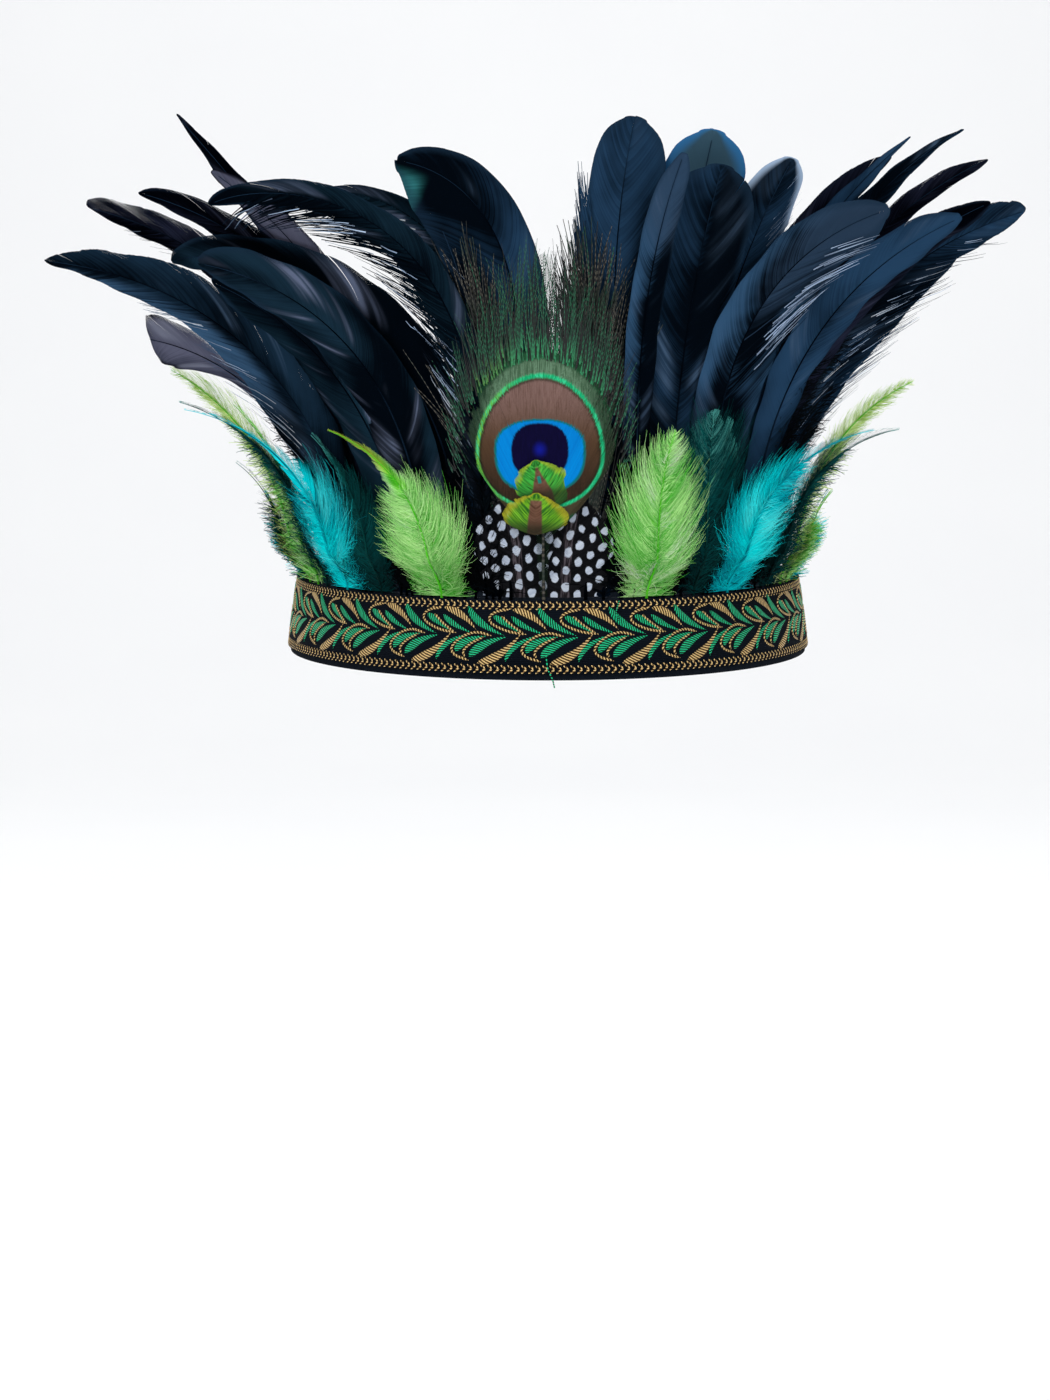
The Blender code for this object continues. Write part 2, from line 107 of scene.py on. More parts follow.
# Outlines: half width at shares of the vane's length, as shares of the widest.
OUTLINES = {
    "round": (
        (0, 0.2), (0.08, 0.62), (0.22, 0.85), (0.5, 0.97), (0.75, 1.0), (0.87, 0.95), (0.94, 0.77),
        (0.98, 0.5), (1, 0.22),
    ),
    "blunt": (
        (0, 0.2), (0.08, 0.62), (0.22, 0.85), (0.5, 0.93), (0.8, 1.0), (0.91, 0.95), (0.96, 0.79),
        (0.985, 0.58), (1, 0.3),
    ),
    "taper": (
        (0, 0.2), (0.08, 0.62), (0.22, 0.85), (0.5, 1.0), (0.7, 0.9), (0.85, 0.6), (0.95, 0.28), (1, 0.06),
    ),
    "blade": (
        (0, 0.15), (0.1, 0.5), (0.3, 0.85), (0.55, 1.0), (0.8, 0.97), (0.92, 0.8), (0.98, 0.45), (1, 0.12),
    ),
    "paddle": (
        (0, 0.1), (0.3, 0.16), (0.5, 0.28), (0.62, 0.62), (0.74, 0.95), (0.85, 1.0), (0.94, 0.85),
        (0.98, 0.6), (1, 0.3),
    ),
    "point": (
        (0, 0.15), (0.1, 0.5), (0.3, 0.9), (0.5, 1.0), (0.7, 0.85), (0.85, 0.55), (0.95, 0.22), (1, 0.06),
    ),
    "plume": (
        (0, 0.35), (0.1, 0.85), (0.25, 1.0), (0.45, 0.9), (0.6, 0.55), (0.75, 0.22), (0.9, 0.12), (1, 0.05),
    ),
    "leaf": ((0, 0.35), (0.1, 0.75), (0.3, 1.0), (0.55, 0.95), (0.75, 0.7), (0.9, 0.35), (1, 0.06)),
    "eye": ((0, 0.1), (0.1, 0.45), (0.28, 0.95), (0.42, 1.0), (0.6, 0.85), (0.8, 0.55), (1, 0.1)),
    "spade": ((0, 0.2), (0.12, 0.7), (0.35, 1.0), (0.65, 0.95), (0.85, 0.7), (0.95, 0.4), (1, 0.12)),
    "dome": ((0, 0.3), (0.2, 0.9), (0.45, 1.0), (0.7, 0.85), (0.9, 0.5), (1, 0.15)),
}

# Kind and dye of a feather, where they aren't the first word of its name.
KIND_OF = {"lime": "hackle", "teal": "hackle", "turquoise": "hackle"}
DYE_OF = {"goose": "black", "coque": "black", "under": "black",
          "coque_left_4": "grey", "coque_left_8": "grey"}


# Feathers: azimuth of the foot in degrees; length and width, as shares of the kind's; lean to the side and
# further bow by the tip in degrees, with the power that the bow grows by; lift off the crown in degrees;
# layer; outline; width of the left half against an even one; twist in degrees.
class Feather(namedtuple("Feather", "name azimuth length width fan bow power lift layer outline skew twist",
                         defaults=(1.0, 0))):
    """One feather, in the same measures as its solid."""

    @property
    def kind(self):
        first = self.name.split("_")[0]
        return KIND_OF.get(first, first)

    @property
    def dye(self):
        first = self.name.split("_")[0]
        return DYE_OF.get(self.name, DYE_OF.get(first, first))


FEATHERS = [Feather(*row) for row in (
    ("goose_left_1", -11, 1.04, 1.04, 10, -84, 3.2, 0, 3, "round", 1.3),
    ("goose_left_2", -19, 1.18, 0.95, -2, -98, 1.5, 0, 2, "taper"),
    ("goose_left_3", -27, 0.95, 0.87, -2, -65, 1.7, 0, 5, "round"),
    ("goose_left_4", -32, 0.84, 0.87, -8, -45, 1.6, 0, 4, "round", 1.1),
    ("coque_left_1", -14, 1.1, 1.1, 2, -105, 2.4, 0, 5, "blade"),
    ("coque_left_2", -16.5, 1.0, 1.0, 10, -125, 2.7, 0, 1, "point"),
    ("coque_left_3", -21.5, 1.04, 0.95, -31.5, 29.0, 1.6, 0, -1, "taper", 1.0, 14),
    ("coque_left_4", -29.5, 0.91, 1.1, -8, -18, 1.5, 0, 1, "round"),
    ("coque_left_5", -35, 0.98, 1.15, -3, -60, 1.8, 0, 0, "blade", 1.0, 8),
    ("coque_left_6", -43.8, 1.06, 1.45, -4, -70, 1.8, 0, 1, "blade", 1.0, 12),
    ("coque_left_7", -47, 1.05, 1.65, -9, -58, 1.7, 10, 5, "taper", 0.95, 30),
    ("coque_left_8", -56, 0.81, 1.75, -8, -95, 2.2, 44, 3, "paddle", 1.0, 25),
    ("goose_right_1", 16, 1.02, 0.84, -7, 13, 1.8, 0, 2, "blunt", 0.9),
    ("goose_right_2", 19, 0.98, 0.37, -6, 14, 1.6, 0, 5, "round"),
    ("goose_right_3", 24.6, 1.0, 0.98, 0, 0, 1.6, 0, 1, "blunt"),
    ("goose_right_4", 26.2, 0.95, 1.02, -2, 1, 1.6, 0, 4, "blunt"),
    ("goose_right_5", 30.6, 0.98, 0.66, 2, 3, 1.6, 0, 2, "blunt"),
    ("goose_right_6", 36.6, 0.99, 1.0, -9.5, 56, 2.1, 0, 5, "blunt", 0.8),
    ("goose_right_7", 49, 0.99, 0.66, -5, 35, 1.6, 0, 4, "round", 1.0, 14),
    ("coque_right_1", 39.3, 0.92, 0.95, -6, 36, 1.6, 0, 0, "blade", 1.0, 15),
    ("coque_right_2", 41.8, 0.97, 0.95, -2, 18, 1.6, 0, 1, "point", 1.0, 12),
    ("coque_right_3", 46.5, 1.04, 1.1, -4, 19, 1.6, 0, 2, "point", 1.0, 12),
    ("coque_right_4", 51.5, 0.97, 0.95, -4, 41, 1.6, 0, -1, "blade", 1.0, 16),
    ("coque_right_5", 54, 0.92, 1.1, -4, 30, 1.6, 0, 3, "blade", 1.0, 35),
    ("coque_right_6", 56.5, 1.0, 1.55, -2, 64, 2.0, 0, 2, "blade", 1.0, 34),
    ("coque_right_7", 63, 0.8, 1.6, 1, 38, 1.6, 0, 1, "blade", 1.0, 40),
    ("under_left_1", -12.5, 0.9, 0.9, -4, -4, 1.0, 0, -1, "spade"),
    ("under_left_2", -23, 1.0, 1.0, 0, -8, 1.0, 0, -3, "spade"),
    ("under_left_3", -33.5, 1.0, 1.0, 0, -12, 1.0, 0, -2, "spade"),
    ("under_left_4", -45.5, 1.0, 1.0, 0, -16, 1.0, 0, -3, "spade"),
    ("under_right_1", 12, 0.9, 0.9, 0, 4, 1.0, 0, -1, "spade"),
    ("under_right_2", 28.9, 1.0, 1.0, 0, 8, 1.0, 0, -2, "spade"),
    ("under_right_3", 37.9, 1.0, 1.0, 0, 12, 1.0, 0, -3, "spade"),
    ("under_right_4", 61.2, 1.0, 1.0, 0, 12, 1.0, 0, -2, "spade"),
    ("peacock_eye", -1.3, 1.0, 1.0, 0, 0, 1.0, 0, 8, "eye"),
    ("herl_left", -8.5, 1.0, 1.0, -4, -10, 1.5, 0, 4, "plume"),
    ("herl_right", 8, 1.0, 0.8, 0, -4, 1.5, 0, 3, "plume"),
    ("scale_upper", 0.6, 1.0, 0.95, -12, 0, 1.0, 0, 9, "dome"),
    ("scale_lower", -3.2, 0.76, 1.0, 4, 0, 1.0, 0, 10, "dome"),
    ("guinea_left", -6.5, 1.0, 1.1, -14, 0, 1.0, 0, 6, "leaf"),
    ("guinea_right", 3.5, 1.0, 1.1, 14, 0, 1.0, 0, 5, "leaf"),
    ("lime_left", -24.5, 0.83, 1.67, 0, -72, 1.3, 0, 9, "plume"),
    ("lime_right", 22, 0.66, 1.58, -5, 18, 2.0, 0, 9, "leaf"),
    ("lime_side_left", -66, 0.8, 0.8, -3, -10, 1.5, 12, 6, "plume"),
    ("lime_far_left", -72, 1.11, 0.9, -5, -40, 1.5, 20, 7, "taper", 1.0, 24),
    ("lime_side_right", 72, 0.4, 1.0, 0, 10, 1.5, 25, 7, "plume"),
    ("lime_far_right", 67, 1.04, 0.9, 0, 50, 1.5, 25, 6, "taper", 1.0, 35),
    ("teal_left", -40.5, 0.69, 1.1, 0, -45, 1.5, 0, 7, "plume"),
    ("teal_right", 34, 0.73, 1.2, -4, -4, 1.5, 0, 7, "round"),
    ("teal_side_left", -76, 0.55, 0.7, -3, -20, 1.5, 30, 8, "plume"),
    ("teal_far_left", -61, 1.15, 0.67, -5, -70, 1.3, 45, 7, "plume"),
    ("teal_far_right", 59.5, 0.95, 0.78, 0, 75, 1.4, 55, 7, "plume"),
    ("turquoise_left", -52, 1.13, 1.0, 0, -75, 1.1, 45, 8, "plume"),
    ("turquoise_far_left", -81, 0.38, 1.1, 0, -10, 1.2, 15, 7, "plume"),
    ("turquoise_right", 44, 1.04, 1.22, 0, 88, 1.1, 42, 8, "plume"),
    ("turquoise_far_right", 78, 0.38, 1.1, 0, 10, 1.2, 15, 6, "plume"),
)]

# Vanes broader or narrower than their outline on the left and the right, as shares, some of them as
# two shares, for the foot and for the tip.
WIDEN = {
    "guinea_left": (1.14, 1.0),
    "guinea_right": (1.0, 1.22),
    "under_left_3": (1.25, 1.0),
    "under_left_4": (2.4, 1.0),
    "under_right_3": (1.0, 1.5),
    "under_right_4": (1.4, 1.4),
    "turquoise_left": ((1.5, 0.35), (2.1, 0.35)),
    "turquoise_right": ((1.4, 0.55), (1.6, 0.6)),
    "teal_left": ((2.0, 0.8), 1.0),
    "teal_right": (1.0, 1.25),
    "teal_far_right": (2.0, 1.0),
    "lime_far_right": (0.6, 0.6),
    "lime_far_left": (0.8, (2.0, 1.3)),
    "coque_left_7": ((3.4, 1.0), 1.3),
    "lime_left": ((1.0, 0.55), (1.0, 0.4)),
}

# Share of the shaft that carries down, where it isn't the usual share of the feather's kind.
DOWNY = {"coque_left_8": 0.42, "coque_right_5": 0.5, "coque_right_6": 0.5, "coque_right_7": 0.5,
         "turquoise_left": 0.42, "turquoise_right": 0.62, "lime_left": 0.6}

# Stretches of a vane's edge where the barbs have come apart: side, span of the outline, count and reach
# of the loose barbs, the share of them that catch the light, their width and their least reach.
Fray = namedtuple("Fray", "name side low high count reach lit width least", defaults=(0.7,))
FRAYS = (
    Fray("coque_left_1", -1, 0.2, 0.95, 420, 2.5, 0.12, 0.0007),
    Fray("coque_left_2", -1, 0.15, 0.95, 620, 3.1, 0.12, 0.00085),
    Fray("coque_left_6", -1, 0.4, 0.9, 60, 1.15, 0.06, 0.0003),
    Fray("coque_left_7", -1, 0.1, 0.75, 150, 1.3, 0.2, 0.00036),
    Fray("coque_left_8", 1, 0.15, 0.7, 40, 1.3, 0.2, 0.0003),
    Fray("goose_left_1", -1, 0.3, 0.75, 60, 1.08, 0.1, 0.00026),
    Fray("goose_right_1", -1, 0.12, 0.6, 620, 1.75, 0.04, 0.00095, 1.1),
    Fray("goose_right_1", -1, 0.5, 0.82, 300, 1.4, 0.1, 0.0008, 0.9),
    Fray("goose_right_5", 1, 0.6, 0.97, 130, 1.04, 0.5, 0.00026),
    Fray("goose_right_6", 1, 0.62, 0.93, 70, 1.08, 0.7, 0.0008),
    Fray("coque_right_3", 1, 0.3, 0.8, 40, 1.3, 0.2, 0.0003),
    Fray("coque_right_6", 1, 0.2, 0.9, 150, 1.35, 0.2, 0.00042),
    Fray("coque_right_7", 1, 0.2, 0.9, 170, 1.5, 0.25, 0.00042),
)
# How far up the barbs that catch the light are drawn from, as a share of their length.
LIT_START = 0.5

# Vanes: barbs on each side and steps along each; how far back a barb's root lies at the foot and at the
# tip of the feather, in half widths; width of the vane's foot and depth of its cup; tilt of a barb over
# the next; length of a lock, pull to its middle and lift off the face; widest gap that a barb closes;
# raggedness, height of the ripples, and how far a barb narrows to its end. Lengths are in metres.
Vane = namedtuple("Vane", (
    "barbs steps reach_low reach_high foot cup tilt lock clump lift cap ragged ripple narrow"))
VANES = {
    "goose": Vane(300, 8, 0.9, 1.9, 0.35, 0.1, 0.07, 0.06, 0.004, 0.0003, 0.0016, 0.014, 0.0005, 0.12),
    "coque": Vane(280, 6, 1.5, 2.6, 0.35, 0.12, 0.06, 0.014, 0.01, 0.00008, 0.002, 0.06, 0.0004, 0.1),
    "under": Vane(150, 5, 0.9, 1.8, 0.9, 0.06, 0.12, 0.012, 0.06, 0.0004, 0.0014, 0.06, 0.0004, 0.4),
    "hackle": Vane(280, 6, 0.7, 2.2, 1.7, 0.08, 0.14, 0.0022, 0.16, 0.0004, 0.0009, 0.2, 0.0004, 0.75),
    "peacock": Vane(380, 12, 1.1, 2.8, 0.5, 0.05, 0.03, 0.0036, 0.03, 0.0002, 0.001, 0.12, 0.0001, 0.6),
    "scale": Vane(120, 7, 0.4, 1.1, 0.0, 0.2, 0.1, 0.0018, 0.06, 0.0002, 0.0008, 0.07, 0.0001, 0.6),
    "guinea": Vane(170, 7, 0.5, 1.3, 2.6, 0.02, 0.06, 0.006, 0.04, 0.0003, 0.0009, 0.05, 0.0002, 0.4),
}

# Materials of a feather's mesh, by their place in it.
BARBS, SHAFT, DOWN, LIT = range(4)
# Seed of the first feather's random numbers, and step from one feather's own number to the next.
FIRST_SEED = 100
OWN_STEP = 0.381966
# Distance off a face at which the direction out of it is probed, and lowest run of a loose barb, in metres.
PROBE = 0.0005
LOWEST_RUN = 0.0004
TINY = 1e-12
# Steps and rounds with which an outline is smoothed.
OUTLINE_STEPS = 200
OUTLINE_ROUNDS = 12


def smooth(share):
    """Rises from 0 to 1 with level ends."""
    share = np.clip(share, 0.0, 1.0)
    return share * share * (3 - 2 * share)


def outward(azimuth):
    """Level direction out of the band at each azimuth."""
    side = np.sin(azimuth) / BAND_BREADTH
    front = -np.cos(azimuth) / BAND_LENGTH
    size = np.hypot(side, front)
    return np.stack([side / size, front / size, np.zeros_like(size)], -1)


def band_point(azimuth, depth, height):
    """Points of the band's wall: depth is level, inwards from the ribbon's outer face."""
    azimuth, depth, height = np.broadcast_arrays(azimuth, depth, height)
    edge = np.stack([np.sin(azimuth) * BAND_BREADTH / 2, -np.cos(azimuth) * BAND_LENGTH / 2, height], -1)
    return edge - outward(azimuth) * (depth + height * math.tan(BAND_LEAN))[..., None]


def crown_table():
    """Lean, run outwards and height of the crown, by azimuth and by rise along it."""
    azimuth = np.arange(-AZIMUTH_LIMIT, AZIMUTH_LIMIT + 1)[:, None] * AZIMUTH_STEP
    rise = np.arange(0, RISE_LIMIT, RISE_STEP)[None, :]
    flare = FLARE_FRONT + (FLARE_SIDE - FLARE_FRONT) * np.abs(np.sin(azimuth)) ** FLARE_SIDE_POWER
    turn = smooth((rise - BAND_HEIGHT) / FLARE_TURN + FLARE_TURN_SHARE)
    share = np.maximum(rise - BAND_HEIGHT, 0.0) / FLARE_RISE
    lean = -BAND_LEAN + turn * (BAND_LEAN + flare * share ** FLARE_RISE_POWER)
    mid = (lean[:, 1:] + lean[:, :-1]) / 2
    run = np.zeros_like(lean)
    height = np.zeros_like(lean)
    run[:, 1:] = np.cumsum(np.sin(mid), 1) * RISE_STEP
    height[:, 1:] = np.cumsum(np.cos(mid), 1) * RISE_STEP
    return np.stack([lean, run, height], -1)


CROWN = crown_table()


def crown_row(azimuth, rise):
    """Lean, run outwards and height of the crown surface, read between the table's rows."""
    turn = np.clip(azimuth / AZIMUTH_STEP + AZIMUTH_LIMIT, 0, CROWN.shape[0] - 1.001)
    step = np.clip(rise / RISE_STEP, 0, CROWN.shape[1] - 1.001)
    row, column = turn.astype(int), step.astype(int)
    across, up = (turn - row)[..., None], (step - column)[..., None]
    low = CROWN[row, column] * (1 - up) + CROWN[row, column + 1] * up
    high = CROWN[row + 1, column] * (1 - up) + CROWN[row + 1, column + 1] * up
    return np.moveaxis(low * (1 - across) + high * across, -1, 0)


def crown_point(azimuth, rise, layer, proud=0.0):
    """Points of a layer of the crown surface, or proud of it by a distance."""
    azimuth, rise, proud = np.broadcast_arrays(azimuth, rise, proud)
    lean, run, height = crown_row(azimuth, rise)
    above = np.maximum(rise - BAND_HEIGHT, 0.0)
    pitch = LAYER_PITCH * smooth(above / LAYER_RUN_IN) + LAYER_SPLAY * (above / LAYER_SPLAY_RISE) ** 2
    offset = layer * pitch + proud
    place = band_point(azimuth, QUILL_PLANE, 0.0)
    place = place + outward(azimuth) * (run + offset * np.cos(lean))[..., None]
    place[..., 2] += height - offset * np.sin(lean)
    return place


def arc_length(azimuth, rise, layer):
    """Distance along a layer for each radian of azimuth."""
    ends = crown_point(azimuth + ARC_TURN, rise, layer) - crown_point(azimuth - ARC_TURN, rise, layer)
    return np.linalg.norm(ends, axis=-1) / (2 * ARC_TURN)


def lengths(points):
    """Distance along a line of points, at each of them."""
    return np.concatenate([[0], np.cumsum(np.linalg.norm(np.diff(points, axis=0), axis=1))])


def outline(name, share):
    """Half width as a share, with the table's corners rounded off."""
    places, widths = np.array(OUTLINES[name]).T
    fine = np.linspace(0, 1, OUTLINE_STEPS + 1)
    value = np.interp(fine, places, widths)
    for _ in range(OUTLINE_ROUNDS):
        value[1:-1] = (value[:-2] + 2 * value[1:-1] + value[2:]) / 4
    return np.interp(share, fine, value)


def spread(values, shape):
    """Values side by side, each spread over the points of many grids."""
    columns = []
    for value in values:
        value = np.asarray(value, float)
        value = value.reshape(value.shape + (1,) * (4 - value.ndim))
        columns.append(np.broadcast_to(value, (*shape, 1)))
    return np.concatenate(columns, -1).reshape(-1, len(columns))


class Mesh:
    """Collects strips and tubes, then makes them one piece.

    A look is four numbers for the paints: share along the feather, share across it, a number of the
    barb's own and a number of the feather's own. A lay is a run along and a distance to the side.
    """

    def __init__(self):
        self.points = []
        self.quads = []
        self.looks = []
        self.lays = []
        self.kinds = []
        self.count = 0

    def grid(self, points, look, lay, kind=0, closed=False):
        """Adds quads over points of shape (rows, columns, 3), or many such grids at once."""
        points = np.asarray(points, float)
        points = points.reshape((-1, *points.shape[-3:]))
        shape = points.shape[:3]
        index = np.arange(points.size // 3).reshape(shape) + self.count
        after = np.roll(index, -1, 2) if closed else index[:, :, 1:]
        first = index if closed else index[:, :, :-1]
        quads = np.stack([first[:, :-1], after[:, :-1], after[:, 1:], first[:, 1:]], -1)
        self.points.append(points.reshape(-1, 3))
        self.quads.append(quads.reshape(-1, 4))
        self.kinds.append(np.full(quads.size // 4, kind))
        self.looks.append(spread(look, shape))
        self.lays.append(spread(lay, shape))
        self.count += index.size

    def piece(self, name, paints, node=None, slot=None):
        """Makes the piece, with its looks as a colour attribute and its lay as a UV map."""
        points = np.concatenate(self.points)
        quads = np.concatenate(self.quads)
        mesh = bpy.data.meshes.new(name)
        mesh.vertices.add(len(points))
        mesh.vertices.foreach_set("co", points.astype(np.float32).ravel())
        mesh.loops.add(quads.size)
        mesh.loops.foreach_set("vertex_index", quads.ravel().astype(np.int32))
        mesh.polygons.add(len(quads))
        mesh.polygons.foreach_set("loop_start", np.arange(0, quads.size, 4, dtype=np.int32))
        mesh.polygons.foreach_set("material_index", np.concatenate(self.kinds).astype(np.int32))
        mesh.update(calc_edges=True)
        look = mesh.color_attributes.new("look", "FLOAT_COLOR", "POINT")
        look.data.foreach_set("color", np.concatenate(self.looks).astype(np.float32).ravel())
        lay = mesh.uv_layers.new(name="lay")
        lay.data.foreach_set("uv", np.concatenate(self.lays)[quads.ravel()].astype(np.float32).ravel())
        for paint in paints:
            mesh.materials.append(paint.material)
        mesh.shade_smooth()
        piece = bpy.data.objects.new(name, mesh)
        bpy.context.scene.collection.objects.link(piece)
        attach(piece, "root")
        if node:
            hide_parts(node)
        return piece


class Line:
    """Centre line of a feather from the foot of its quill to a little beyond its tip.

    It also holds what the feather is dressed with: its mesh, its random numbers, its own number for the
    paints and how far its vane is widened on each side.
    """

    STEPS = 60
    BEYOND = 1.12

    def __init__(self, number, feather):
        self.feather = feather
        self.mesh = Mesh()
        self.rng = np.random.default_rng(FIRST_SEED + number)
        self.seed = number * OWN_STEP % 1.0
        self.widen = WIDEN.get(feather.name, (1.0, 1.0))
        self.length = KINDS[feather.kind].length * feather.length
        self.width = KINDS[feather.kind].width * feather.width
        self.bare = KINDS[feather.kind].bare_share * self.length
        step = (self.length + QUILL_DEPTH) / self.STEPS
        azimuth = math.radians(feather.azimuth)
        rise = BAND_HEIGHT - QUILL_DEPTH
        curl = np.zeros(3)
        rows = []
        for index in range(int(self.STEPS * self.BEYOND) + 1):
            run = index * step - QUILL_DEPTH
            share = max(run, 0.0) / self.length
            fan = math.radians(feather.fan) * float(smooth(max(run, 0.0) / FAN_RUN_IN))
            heading = fan + math.radians(feather.bow) * share ** feather.power
            turned = float(smooth((share - TWIST_START_SHARE) / (TWIST_END_SHARE - TWIST_START_SHARE)))
            twist = math.copysign(math.radians(feather.twist), feather.azimuth) * turned
            rows.append((run, azimuth, rise, heading, twist, *curl))
            lean = float(crown_row(np.array(azimuth), np.array(rise))[0])
            lifted = lean + math.radians(feather.lift) * share ** 2
            along = step * math.cos(heading)
            curl = curl + outward(np.array(azimuth)) * (along * (math.sin(lifted) - math.sin(lean)))
            curl[2] += along * (math.cos(lifted) - math.cos(lean))
            azimuth += step * math.sin(heading) / float(arc_length(azimuth, rise, feather.layer))
            rise += along
        self.rows = np.array(rows).T

    def point(self, run, across, proud=0.0):
        """Points at a run along the feather and a distance to its side, proud of its face."""
        run, across, proud = np.broadcast_arrays(run, across, proud)
        azimuth, rise, heading, twist, *curl = [np.interp(run, self.rows[0], row) for row in self.rows[1:]]
        across, proud = (across * np.cos(twist) - proud * np.sin(twist),
                         across * np.sin(twist) + proud * np.cos(twist))
        beyond = np.maximum(run - self.rows[0, -1], 0.0)
        arc = arc_length(azimuth, rise, self.feather.layer)
        azimuth = azimuth + (across * np.cos(heading) + beyond * np.sin(heading)) / arc
        rise = rise - across * np.sin(heading) + beyond * np.cos(heading)
        return crown_point(azimuth, rise, self.feather.layer, proud) + np.stack(curl, -1)

    def face(self, run, across, proud):
        """Points as from point(), and the direction out of the feather's face at each."""
        place = self.point(run, across, proud)
        up = self.point(run, across, proud + PROBE) - place
        return place, up / np.linalg.norm(up, axis=-1, keepdims=True)


def sideways(centre, up):
    """Direction to the side of paths that lie on a face, from the direction out of it."""
    side = np.cross(np.gradient(centre, axis=1), up)
    return side / (np.linalg.norm(side, axis=-1, keepdims=True) + TINY)


def strands(line, run, across, proud, width, look, kind):
    """Flat strands of shape (count, steps) along paths on a feather, each with its width along it."""
    centre = line.point(run, across, proud)
    side = sideways(centre, line.point(run, across, proud + PROBE) - centre)
    half = (np.broadcast_to(width, run.shape) / 2)[..., None]
    line.mesh.grid(np.stack([centre - side * half, centre + side * half], 2), look, (run, across), kind)


def shaft_tube(line, thick, thin, proud=0.0002, until=0.985):
    """Shaft of a feather from the foot of its quill to near its tip, flattened where it is in the band."""
    steps = 60
    corners = 6
    free_run = 0.006
    run = np.linspace(-QUILL_DEPTH, line.length * until, steps)[None]
    share = np.clip(run / line.length, 0, 1)
    size = thick + (thin - thick) * share ** 0.6
    free = smooth(run / free_run)
    height = np.minimum(size, QUILL_THICKNESS * 0.9) * (1 - free) + size * free
    centre, up = line.face(run, 0.0, proud * free)
    side = sideways(centre, up)
    turn = np.linspace(0, 2 * np.pi, corners, endpoint=False)
    wide = (size / 2)[..., None, None] * np.cos(turn)[:, None]
    tall = (height / 2)[..., None, None] * np.sin(turn)[:, None]
    rings = centre[..., None, :] + side[..., None, :] * wide + up[..., None, :] * tall
    line.mesh.grid(rings, (share, 0.0, 0.5, 1.0), (run, 0.0), SHAFT, closed=True)


class Barbs:
    """Roots and ends of the barbs on one side of a feather, spread evenly along its outline."""

    STEPS = 800
    TIP_STEPS = 12
    TIP_ROUNDING = 0.35
    LOWEST_ROOT = 0.0006
    HIGHEST_ROOT = 0.995
    FOOT_RUN = 0.001
    FOOT_SHARE = 0.45
    WIDEST_FOOT = 0.9
    TAPER_FROM = 0.15
    TAPER_RUN = 0.45

    def __init__(self, line, style, side, count, widen):
        feather = line.feather
        low, high = np.broadcast_to(widen, 2)
        self.half = line.width / 2 * (feather.skew if side < 0 else 2 - feather.skew) * low
        share = np.linspace(0, 1, self.STEPS + 1)
        run = line.bare + (line.length - line.bare) * share
        taper = 1 + (high / low - 1) * smooth((share - self.TAPER_FROM) / self.TAPER_RUN)
        width = self.half * outline(feather.outline, share) * taper
        turn = np.linspace(0, np.pi / 2, self.TIP_STEPS + 1)[1:]
        run = np.concatenate([run, line.length + self.TIP_ROUNDING * width[-1] * np.sin(turn)])
        width = np.concatenate([width, width[-1] * np.cos(turn)])
        share = np.concatenate([share, np.ones(self.TIP_STEPS)])
        if style.foot:
            foot = min(style.foot * width[0], width.max() * self.WIDEST_FOOT)
            width = np.maximum(width, foot * (1 - share / self.FOOT_SHARE))
            run = np.concatenate([[self.FOOT_RUN], run])
            width = np.concatenate([[foot], width])
            share = np.concatenate([[0], share])
        arc = np.concatenate([[0], np.cumsum(np.hypot(np.diff(run), np.diff(width)))])
        place = np.linspace(0, arc[-1], count + 1)
        self.pitch = place[1]
        self.share = np.interp(place, arc, share)
        self.run = np.interp(place, arc, run)
        self.width = np.interp(place, arc, width)
        reach = style.reach_low + (style.reach_high - style.reach_low) * self.share
        root = np.clip(self.run - reach * self.width, self.LOWEST_ROOT, line.length * self.HIGHEST_ROOT)
        self.root = np.maximum.accumulate(root)


# Locks of a vane: spread of their sizes and fewest barbs; waves along the vane in metres; how far a barb
# runs under the next; where its end starts to narrow.
LOCK_SPREAD = (0.35, 1.7)
FEWEST_IN_LOCK = 3
LONG_WAVE = 0.037
SHORT_WAVE = 0.017
SHORT_WAVE_SHARE = 0.6
OVERLAP = 1.25
NARROW_FROM = 0.72
NARROW_RUN = 0.28


